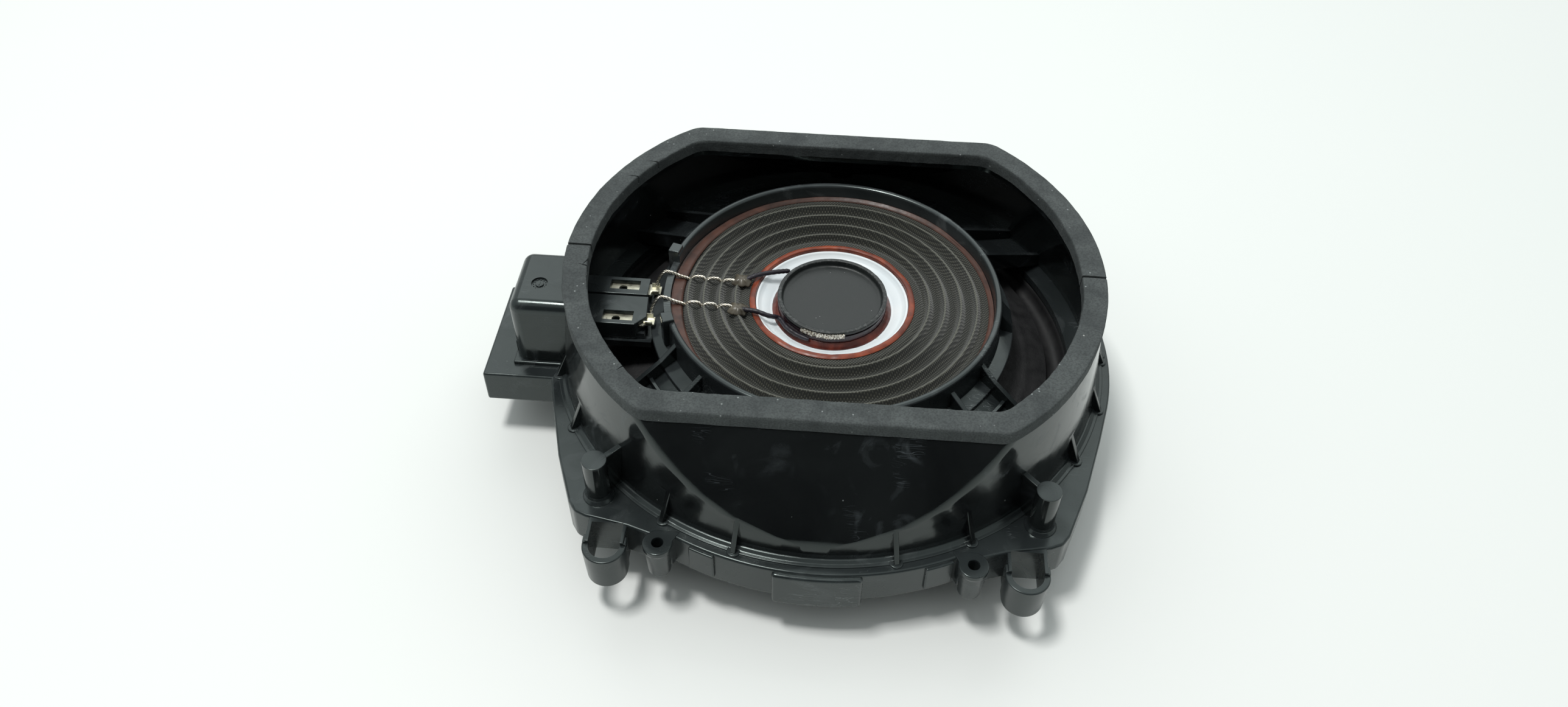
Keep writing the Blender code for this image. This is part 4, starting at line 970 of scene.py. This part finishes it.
def spider_sheet():
    """The rolled cloth disc, slightly uneven all over."""
    inner, outer, half = 28.9 * MM, SPIDER_HIGH.x, 0.28 * MM
    steps = 130
    line = [inner + (outer - inner) * step / steps for step in range(steps + 1)]
    outline = [(r, spider_height(r) + half) for r in line]
    outline += [(r, spider_height(r) - half) for r in reversed(line)]
    sheet = turned("spider_cloth_disc", outline, 220,
                   shape=lambda r, z, a: (r, z + wavy((r * cos(a), r * sin(a), 0), 8 * MM, 0.10 * MM)))
    shown(sheet, "cloth", None, ["spider"], 70)
    return bends(sheet, *SPIDER_BEND)


def bead(name, outline, look, body, node, ragged, spill=0.0, segments=260):
    """A ring of glue whose width and height wander, and that can spill inwards on the left."""
    middle = sum(r for r, _ in outline) / len(outline)
    low = min(z for _, z in outline)

    def shape(r, z, a):
        wander = wavy((cos(a) * 3, sin(a) * 3, 0), 1.0, 1.0)
        wander += 0.25 * wavy((cos(a) * 12, sin(a) * 12, 4), 1.0, 1.0)
        side = 1 if r > middle else -0.6
        r -= spill * max(0.0, -cos(a)) ** 3 if r < middle else 0.0
        return r + side * ragged * wander, low + (z - low) * (1 + 0.2 * wander)

    ring = turned(name, rounded(outline, 0.4 * MM), segments, shape=shape)
    return shown(ring, look, body, [node], 80)


def glue_and_coupler():
    """The three beads of glue, and the white dish that joins the spider to the coil."""
    low = SPIDER_LEVEL + 0.32 * MM
    seat = [(56.0, 0), (57.8, 0), (57.8, 1.3), (57.2, 0.9), (56.5, 0.5)]
    bead("spider_seat_glue", [(r * MM, low + z * MM) for r, z in seat], "brown_glue", "basket",
         "spider_outer_glue", 0.25 * MM, spill=2.6 * MM)
    neck = [(27.5, -1), (28.7, -1), (28.5, 0.52), (29.9, 0.42), (29.2, 0.82), (28.3, 1.07), (27.6, 0.92)]
    bead("spider_neck_glue", [(r * MM, SPIDER_LEVEL + z * MM) for r, z in neck], "red_glue", "diaphragm",
         "spider_inner_glue", 0.22 * MM)
    fillet = above_flange([(19.5, 16.9), (21.7, 17.4), (21.1, 18.1), (20.2, 18.9), (19.5, 19.4)])
    bead("former_fillet_glue", fillet, "maroon_glue", "diaphragm", "former_glue_fillet",
         0.18 * MM)
    dish = [(19.6, 8.0), (21.0, 8.0), (21.0, 14.8), (27.0, 17.9), (27.5, 20.7), (26.8, 20.7), (26.2, 19.9),
            (25.4, 19.2), (22.2, 17.5), (19.6, 16.9)]
    ring = turned("coupler_dish", rounded(above_flange(dish), 0.35 * MM))
    shown(ring, "white", "diaphragm", ["coupler_ring"], 50)


def coil_and_cap():
    """The coil's former, its wire turn by turn, and the dished cap."""
    low, high = FORMER_LOW.z, FORMER_HIGH.z
    outer, inner = FORMER_HIGH.x, FORMER_HIGH.x - 0.5 * MM
    tube = [(inner, low), (outer, low), (outer, FLANGE + 17 * MM), (outer + 0.12 * MM, FLANGE + 17.4 * MM),
            (outer + 0.12 * MM, high), (inner, high)]
    def crinkled(r, z, a):
        return r + (wavy((r * cos(a), r * sin(a), z), 3 * MM, 0.05 * MM) if r > inner else 0), z

    former = turned("coil_former_tube", rounded(tube, 0.05 * MM, 2), shape=crinkled)
    shown(former, "band", "diaphragm", ["voice_coil_former"])
    turns = 34
    pitch = (WINDING_HIGH.z - WINDING_LOW.z) / turns
    wire = [(19.6 * MM, WINDING_LOW.z)]
    for turn in range(turns):
        base = WINDING_LOW.z + turn * pitch
        wire += [(20.05 * MM, base), (20.3 * MM, base + pitch * 0.3), (20.3 * MM, base + pitch * 0.7)]
    wire += [(20.05 * MM, WINDING_HIGH.z), (19.6 * MM, WINDING_HIGH.z)]
    shown(turned("coil_turns", wire, 120), "copper", "diaphragm", ["voice_coil_winding"], 60)
    lip, rim = CAP_TOP - 1.5 * MM, CAP_RADIUS - 1.6 * MM
    outline = [(0, lip - 1.9 * MM), (18.4 * MM, lip - 1.9 * MM), (18.4 * MM, lip),
               (CAP_RADIUS + 0.1 * MM, lip),
               (CAP_RADIUS + 0.15 * MM, CAP_TOP - 0.1 * MM), (CAP_RADIUS - 0.5 * MM, CAP_TOP + 0.05 * MM),
               (rim + 0.25 * MM, CAP_TOP), (rim, CAP_TOP - 1.9 * MM), (rim - 0.5 * MM, CAP_TOP - 2.3 * MM)]
    outline = rounded(outline, 0.3 * MM)[:-1]
    dish = [(rim * share, CAP_TOP - 2.3 * MM - 0.2 * MM * (1 - share ** 2))
            for share in (0.93, 0.8, 0.6, 0.4, 0.2)]
    cap = turned("coil_dust_cap", outline + dish + [(0, CAP_TOP - 2.5 * MM)], 180,
                 shape=lambda r, z, a: (r + wavy((r * cos(a), r * sin(a), z), 2.0 * MM, 0.07 * MM),
                                        z + wavy((r * cos(a), r * sin(a), 9), 3.0 * MM, 0.06 * MM)))
    shown(cap, "cap", "diaphragm", ["coil_cap"], 60)


def tail_strip():
    """A crumpled strip of bare tinsel that ends the winding, stuck on the former under the cap's rim."""
    low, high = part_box("coil_tail_strip")
    start, end, steps = 239.0, 285.5, 90
    rings = []
    for step in range(steps + 1):
        angle = start + (end - start) * step / steps
        x, y = spot(1.0, angle)
        ring = []
        for row in range(7):
            share = row / 6
            z = low.z + (high.z - low.z) * (0.06 + 0.86 * share) - (0.5 * MM if step < 8 else 0.0) * share
            crease = wavy((angle * 0.9, share * 3.1, 0), 1.0, 0.45 * MM)
            crease += wavy((angle * 2.2, share * 7, 5), 1.0, 0.30 * MM)
            radius = 20.0 * MM + crease
            ring.append((x * radius, y * radius, z + wavy((angle * 0.8, share, 7), 1.0, 0.35 * MM)))
        back = [(px / hypot(px, py) * 19.6 * MM, py / hypot(px, py) * 19.6 * MM, pz)
                for px, py, pz in reversed(ring)]
        rings.append(ring + back)
    shown(lofted("tinsel_tail_foil", rings), "silver", "diaphragm", ["coil_tail_strip"], 25)


# ---------------------------------------------------------------- cone, surround and motor


def cone_shell():
    """A shallow curved cone with four stiffening rings pressed into it."""
    neck, edge = Vector((21.4 * MM, 40.2 * MM)), Vector((80.5 * MM, 26.2 * MM))
    steps = 60
    upper, lower = [], []
    for step in range(steps + 1):
        t = step / steps
        point = neck.lerp(edge, t) + Vector((0, 0.9 * MM * 4 * t * (1 - t)))
        ring = sum(max(0.0, 1 - abs(point.x - radius * MM) / (0.9 * MM)) for radius in (38, 50, 62, 73))
        upper.append((point.x, point.y + 0.4 * MM + 0.35 * MM * ring))
        lower.append((point.x, point.y - 0.4 * MM))
    shown(turned("cone_shell", upper + lower[::-1], 200), "cone", "diaphragm", ["cone"], 60)


def surround_roll():
    """A half roll between a flat on the cone and a flat on the frame."""
    centre, level, roll = 84.3 * MM, 25.0 * MM, 3.8 * MM
    spine = [(77.6 * MM, level + 0.1 * MM), (79.6 * MM, level + 0.05 * MM)]
    spine += [(centre - roll * cos(pi * step / 18), level - roll * sin(pi * step / 18)) for step in range(19)]
    spine += [(88.6 * MM, 25.8 * MM), (89.4 * MM, 26.2 * MM), (92.6 * MM, 26.2 * MM)]
    half = 0.35 * MM
    upper, lower = [], []
    for count, (r, z) in enumerate(spine):
        before, after = spine[max(count - 1, 0)], spine[min(count + 1, len(spine) - 1)]
        along = Vector((after[0] - before[0], after[1] - before[1])).normalized()
        upper.append((r - along.y * half, z + along.x * half))
        lower.append((r + along.y * half, z - along.x * half))
    roll = turned("surround_roll", upper + lower[::-1], 220)
    shown(roll, "rubber", None, ["surround"], 60)
    return bends(roll, *SURROUND_BEND)


def motor():
    """The yoke with its pole, the ring magnet and the front plate."""
    edge = 0.5 * MM
    yoke = rounded([(0, YOKE_LOW.z), (YOKE_HIGH.x, YOKE_LOW.z), (YOKE_HIGH.x, 8 * MM), (18.1 * MM, 8 * MM),
                    (18.1 * MM, YOKE_HIGH.z), (0, YOKE_HIGH.z)], edge)
    plate = turned("pole_and_back_plate", yoke)
    for angle in MAGNET_SCREW_ANGLES:
        thread = ring_outline(0, 1.5 * MM, YOKE_LOW.z - MM, 7.2 * MM)
        cut(plate, turned("thread", thread, 32, spot(MAGNET_SCREW_RADIUS, angle)))
    shown(plate, "steel", "basket", ["yoke"])
    ring = ring_outline(25 * MM, MAGNET_HIGH.x, MAGNET_LOW.z, MAGNET_HIGH.z)
    magnet = turned("ferrite_ring", rounded(ring, 0.9 * MM), 200,
                    shape=lambda r, z, a: (r + wavy((r * cos(a), r * sin(a), z), 4 * MM, 0.10 * MM), z))
    shown(magnet, "ferrite", "basket", ["magnet"])
    ring = ring_outline(21 * MM, PLATE_HIGH.x, PLATE_LOW.z, PLATE_HIGH.z)
    shown(turned("front_plate", rounded(ring, edge)), "steel", "basket", ["top_plate"])


def bridge():
    """The cradle under the motor: a hub, four arms and a ring, with sinks for the screws."""
    rim = YOKE_HIGH.x + 1.2 * MM
    hub = [(0, 0), (HUB_RADIUS - MM, 0), (HUB_RADIUS, MM), (HUB_RADIUS, 9 * MM), (rim, 9 * MM),
           (rim, YOKE_LOW.z - 0.3 * MM), (0, YOKE_LOW.z - 0.3 * MM)]
    body = turned("motor_cradle", rounded(hub, 0.5 * MM))
    inner, outer, low, high = BRIDGE_RING
    ring = turned("ring", rounded([(inner, low), (outer, low), (outer, high), (92.4 * MM, high),
                                   (92.4 * MM, 25.4 * MM),
                                   (89.6 * MM, 25.4 * MM), (inner, high)], 0.4 * MM))
    for angle in (45, 135, 225, 315):
        arm = in_metres([(45.5, 0.6), (79, 0.6), (86, 4), (94, 18.2), (94, 21), (90, 21), (88.2, 16.5),
                         (82, 8),
                         (77, 6.5), (45.5, 6.5)])
        plate = fin("arm", rounded(arm, 1.5 * MM), 5.5 * MM, angle)
        spine = in_metres([(45.9, 5), (77, 5), (74, 9.5), (45.9, 13)])
        joined(ring, softened(plate, 0.6 * MM, 3, 50),
               softened(fin("spine", spine, 1.25 * MM, angle), 0.35 * MM))
        for side in (-1, 1):
            groove = ring_outline(50 * MM, 76 * MM, -MM, 1.4 * MM)
            cut(ring, softened(fin("groove", groove, 1.3 * MM, angle, side * 2.6 * MM), 0.3 * MM))
    joined(body, ring)
    for angle in BRIDGE_SCREW_ANGLES:
        cut(body, turned("sink", [(0, low - MM), (3.3 * MM, low - MM), (3.3 * MM, low + 2.3 * MM),
                                  (1.5 * MM, low + 2.3 * MM),
                                  (1.5 * MM, high + MM), (0, high + MM)], 32,
                                  spot(BRIDGE_SCREW_RADIUS, angle)))
    for angle in MAGNET_SCREW_ANGLES:
        cut(body, turned("sink", [(0, -MM), (3.6 * MM, -MM), (3.5 * MM, 0.3 * MM), (3.5 * MM, 2.1 * MM),
                                  (1.6 * MM, 2.1 * MM), (1.6 * MM, 6 * MM), (0, 6 * MM)], 32,
                                  spot(MAGNET_SCREW_RADIUS, angle)))
    cut(body, *(turned(name, rounded(ring_outline(inner * MM, outer * MM, -MM, depth * MM), 0.3 * MM))
                for name, inner, outer, depth in (("ring_groove", 38, 40, 0.8),
                                                  ("centre_dimple", 0, 6, 0.9))))
    shown(body, "bridge", "basket", ["motor_bridge"])


def screws():
    """Pan heads with a cross recess, seen from below."""
    for kind, angles, radius in (("bridge_screw", BRIDGE_SCREW_ANGLES, BRIDGE_SCREW_RADIUS),
                                 ("magnet_screw", MAGNET_SCREW_ANGLES, MAGNET_SCREW_RADIUS)):
        for count, angle in enumerate(angles, 1):
            node = f"{kind}_{count}"
            low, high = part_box(node)
            place = spot(radius, angle)
            seat = low.z + (1.8 * MM if kind == "bridge_screw" else 1.6 * MM)
            outline = [(0, low.z), (1.6 * MM, low.z + 0.05 * MM), (2.5 * MM, low.z + 0.35 * MM),
                       (2.95 * MM, low.z + 0.9 * MM),
                       (2.95 * MM, seat), (1.2 * MM, seat), (1.2 * MM, high.z - 0.8 * MM), (0, high.z)]
            solid = turned(node + "_head", outline, 40, place)
            for turn in (angle + 20, angle + 110):
                along = Vector(spot(1.55 * MM, turn))
                across = Vector(spot(0.30 * MM, turn + 90))
                base, tip = Vector(place), 0.55
                wide = [base + along + across, base - along + across, base - along - across,
                        base + along - across]
                deep = [base + (point - base) * tip for point in wide]
                cut(solid, lofted("recess", [[(*point, low.z - 0.2 * MM) for point in wide],
                                             [(*point, low.z + 1.1 * MM) for point in deep]]))
            shown(solid, "screw", "basket", [node], 45)


# ---------------------------------------------------------------- leads


def smooth_route(points, per_span):
    """A smooth curve through the points."""
    points = [Vector(point) for point in points]
    ends = [points[0] * 2 - points[1], *points, points[-1] * 2 - points[-2]]
    route = []
    for a, b, c, d in zip(ends, ends[1:], ends[2:], ends[3:]):
        for step in range(per_span):
            t = step / per_span
            route.append(0.5 * (2 * b + (c - a) * t + (2 * a - 5 * b + 4 * c - d) * t ** 2
                                + (3 * b - a - 3 * c + d) * t ** 3))
    return [*route, points[-1]]


def tube_rings(route, radius, sides, offset=None):
    """Circles along a route, each square to it. offset(count) may move a circle within its own plane."""
    rings = []
    side = Vector((0, 0, 1))
    for count, point in enumerate(route):
        along = (route[min(count + 1, len(route) - 1)] - route[max(count - 1, 0)]).normalized()
        side = (side - along * side.dot(along)).normalized()
        other = along.cross(side)
        shift = offset(count) if offset else (0.0, 0.0)
        centre = point + side * shift[0] + other * shift[1]
        size = radius(count) if callable(radius) else radius
        rings.append([centre + (side * cos(2 * pi * k / sides) + other * sin(2 * pi * k / sides)) * size
                      for k in range(sides)])
    return rings


def braided_lead(name, node, y_outer, y_inner, tag_y):
    """Tinsel twisted from strands and sewn through the cloth: up over each valley, down at each crest."""
    top = FLANGE + 23.6 * MM
    points = [(-64.4 * MM, tag_y, BLADE_HIGH.z + 0.9 * MM),
              (-63.6 * MM, (tag_y + y_outer) / 2, FLANGE + 21.6 * MM),
              (-61.6 * MM, y_outer, FLANGE + 24.6 * MM), (-59.2 * MM, y_outer, FLANGE + 24.7 * MM),
              (-56.4 * MM, y_outer, FLANGE + 23.4 * MM), (-54.0 * MM, y_outer, FLANGE + 22.6 * MM)]
    reach = [RIDGE_RADII[3], RIDGE_RADII[2], RIDGE_RADII[1], RIDGE_RADII[0]]
    for index, crest in enumerate(reach):
        share = index / 3
        y = y_outer + (y_inner - y_outer) * share
        points.append((-crest, y, FLANGE + 22.0 * MM))
        if index < 3:
            middle = (crest + reach[index + 1]) / 2
            points += [(-(middle + 1.5 * MM), y, top - 0.35 * MM), (-(middle - 1.5 * MM), y, top - 0.35 * MM)]
    points.append((-33.6 * MM, y_inner, FLANGE + 22.9 * MM))
    route = smooth_route(points, 14)
    strands, twist = 4, 0.26
    parts = []
    for strand in range(strands):
        phase = 2 * pi * strand / strands
        rings = tube_rings(route, 0.31 * MM, 7, lambda count, phase=phase: (
            0.36 * MM * cos(phase + count * twist), 0.36 * MM * sin(phase + count * twist)))
        parts.append(lofted(f"{name}_strand", rings))
    body = parts[0]
    body.name = name
    joined(body, *parts[1:])
    shown(body, "silver", None, [node], 60)
    return bends(body, *SPIDER_BEND)


def leads():
    braided_lead("tinsel_braid_positive", "tinsel_lead_positive", 5.9 * MM, 4.6 * MM, BLADE_YS[0] + 1.5 * MM)
    braided_lead("tinsel_braid_negative", "tinsel_lead_negative", -7.6 * MM, -8.6 * MM,
                 BLADE_YS[1] + 3.0 * MM)
    upper = [(-32.4, 5.4, 22.9), (-30.5, 6.6, 23.5), (-27.0, 8.6, 23.7), (-22.0, 11.0, 23.1),
             (-18.6, 12.4, 22.6),
             (-16.2, 13.2, 22.3)]
    lower = [(-32.2, -9.4, 22.9), (-30.3, -10.0, 23.5), (-26.4, -10.6, 23.6), (-22.0, -11.2, 22.4)]
    lower += [(*(c / MM for c in spot(20.8 * MM, angle)), 20.1) for angle in (208, 222, 236, 250)]
    for name, points, node in (("lead_sleeve_upper", upper, "lead_sleeve_positive"),
                               ("lead_sleeve_lower", lower, "lead_sleeve_negative")):
        route = smooth_route([(x * MM, y * MM, FLANGE + z * MM) for x, y, z in points], 10)
        last = len(route) - 1
        rings = tube_rings(route, lambda count: 0.86 * MM * (1 + 0.06 * sin(count * 1.3))
                           * min(1.0, 0.55 + 0.15 * min(count, last - count)), 16)
        shown(lofted(name, rings), "sleeve", "diaphragm", [node], 70)
    for name, node in (("glue_blob_positive", "lead_glue_positive"),
                       ("glue_blob_negative", "lead_glue_negative")):
        low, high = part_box(node)
        x, y = (low.x + high.x) / 2, (low.y + high.y) / 2
        outline = [(0, low.z - 0.5 * MM), (3.0 * MM, low.z - 0.5 * MM), (3.1 * MM, low.z + 0.1 * MM),
                   (2.2 * MM, low.z + 1.0 * MM), (1.1 * MM, low.z + 1.5 * MM), (0, low.z + 1.6 * MM)]

        def shape(r, z, a, x=x, y=y, low=low):
            lump = 1 + 0.35 * noise.noise(Vector((cos(a) * 1.6 + x * 900, sin(a) * 1.6, z / MM * 0.7)))
            return r * lump * (1.15 if abs(cos(a)) > 0.6 else 0.95), low.z + (z - low.z) * (0.8 + 0.3 * lump)

        shown(turned(name, rounded(outline, 0.5 * MM, 4), 48, (x, y), shape), "clear_glue", "diaphragm",
              [node],
              80)


# ---------------------------------------------------------------- studio

CAMERA_PLACE = Vector((2.9 * MM, -310.3 * MM, 344.8 * MM))
CAMERA_YAW, CAMERA_PITCH, CAMERA_ROLL = 3.668, 46.072, 1.024
CAMERA_LENS, SENSOR = 27.18, 36.0


def camera():
    yaw, pitch, roll = radians(CAMERA_YAW), radians(CAMERA_PITCH), radians(CAMERA_ROLL)
    back = Vector((sin(yaw) * cos(pitch), -cos(yaw) * cos(pitch), sin(pitch)))
    right = Vector((cos(yaw), sin(yaw), 0.0))
    up = back.cross(right)
    rolled_right = right * cos(roll) + up * sin(roll)
    rolled_up = up * cos(roll) - right * sin(roll)
    data = bpy.data.cameras.new("camera")
    data.lens, data.sensor_width, data.sensor_fit = CAMERA_LENS, SENSOR, "HORIZONTAL"
    data.clip_start, data.clip_end = 0.01, 50.0
    made = bpy.data.objects.new("camera", data)
    bpy.context.scene.collection.objects.link(made)
    turn = Matrix((rolled_right, rolled_up, back)).transposed()
    made.matrix_world = Matrix.Translation(CAMERA_PLACE) @ turn.to_4x4()
    bpy.context.scene.camera = made


def soft_light(name, place, target, size, power, colour):
    """A rectangular lamp that faces its target."""
    data = bpy.data.lights.new(name, "AREA")
    data.shape, data.size, data.size_y = "RECTANGLE", size[0], size[1]
    data.energy, data.color = power, colour
    made = bpy.data.objects.new(name, data)
    bpy.context.scene.collection.objects.link(made)
    made.location = place
    made.rotation_euler = (Vector(target) - Vector(place)).to_track_quat("-Z", "Y").to_euler()


def studio():
    """A pale floor, a dark card that only shows in reflections, a soft key lamp and a wide rear one."""
    mesh = bmesh.new()
    bmesh.ops.create_grid(mesh, x_segments=8, y_segments=8, size=4.0)
    floor = made_object("table_top", mesh)
    floor.data.materials.append(floor_look())
    mesh = bmesh.new()
    bmesh.ops.create_grid(mesh, x_segments=2, y_segments=2, size=1.0,
                          matrix=Matrix.Translation((0, -1.6, 0.95)) @ Matrix.Rotation(radians(90), 4, "X")
                          @ Matrix.Diagonal((1.9, 0.8, 1.0, 1.0)))
    card = made_object("dark_card", mesh)
    card.data.materials.append(Look("dark_card_felt", (0.01, 0.01, 0.01), 1.0).material)
    card.visible_camera = False
    card.visible_shadow = False
    world = bpy.data.worlds.new("studio")
    world.use_nodes = True
    world.node_tree.nodes["Background"].inputs[0].default_value = (0.91, 0.98, 0.965, 1.0)
    world.node_tree.nodes["Background"].inputs[1].default_value = 0.56
    bpy.context.scene.world = world
    soft_light("key", (-0.36, -0.1, 1.5), (0, 0, 0), (0.3, 0.24), 13.0, (1.0, 1.0, 0.98))
    soft_light("rear", (0.1, 1.35, 1.35), (0, 0, 0), (2.6, 1.2), 10.0, (0.97, 1.0, 1.0))
    bpy.context.scene.view_settings.view_transform = "Standard"


camera()
basket_shell()
foam_half("foam_strip_front", -1, "foam_gasket_front")
foam_half("foam_strip_rear", 1, "foam_gasket_rear")
terminals()
spider_sheet()
glue_and_coupler()
coil_and_cap()
tail_strip()
cone_shell()
surround_roll()
motor()
bridge()
screws()
leads()
studio()
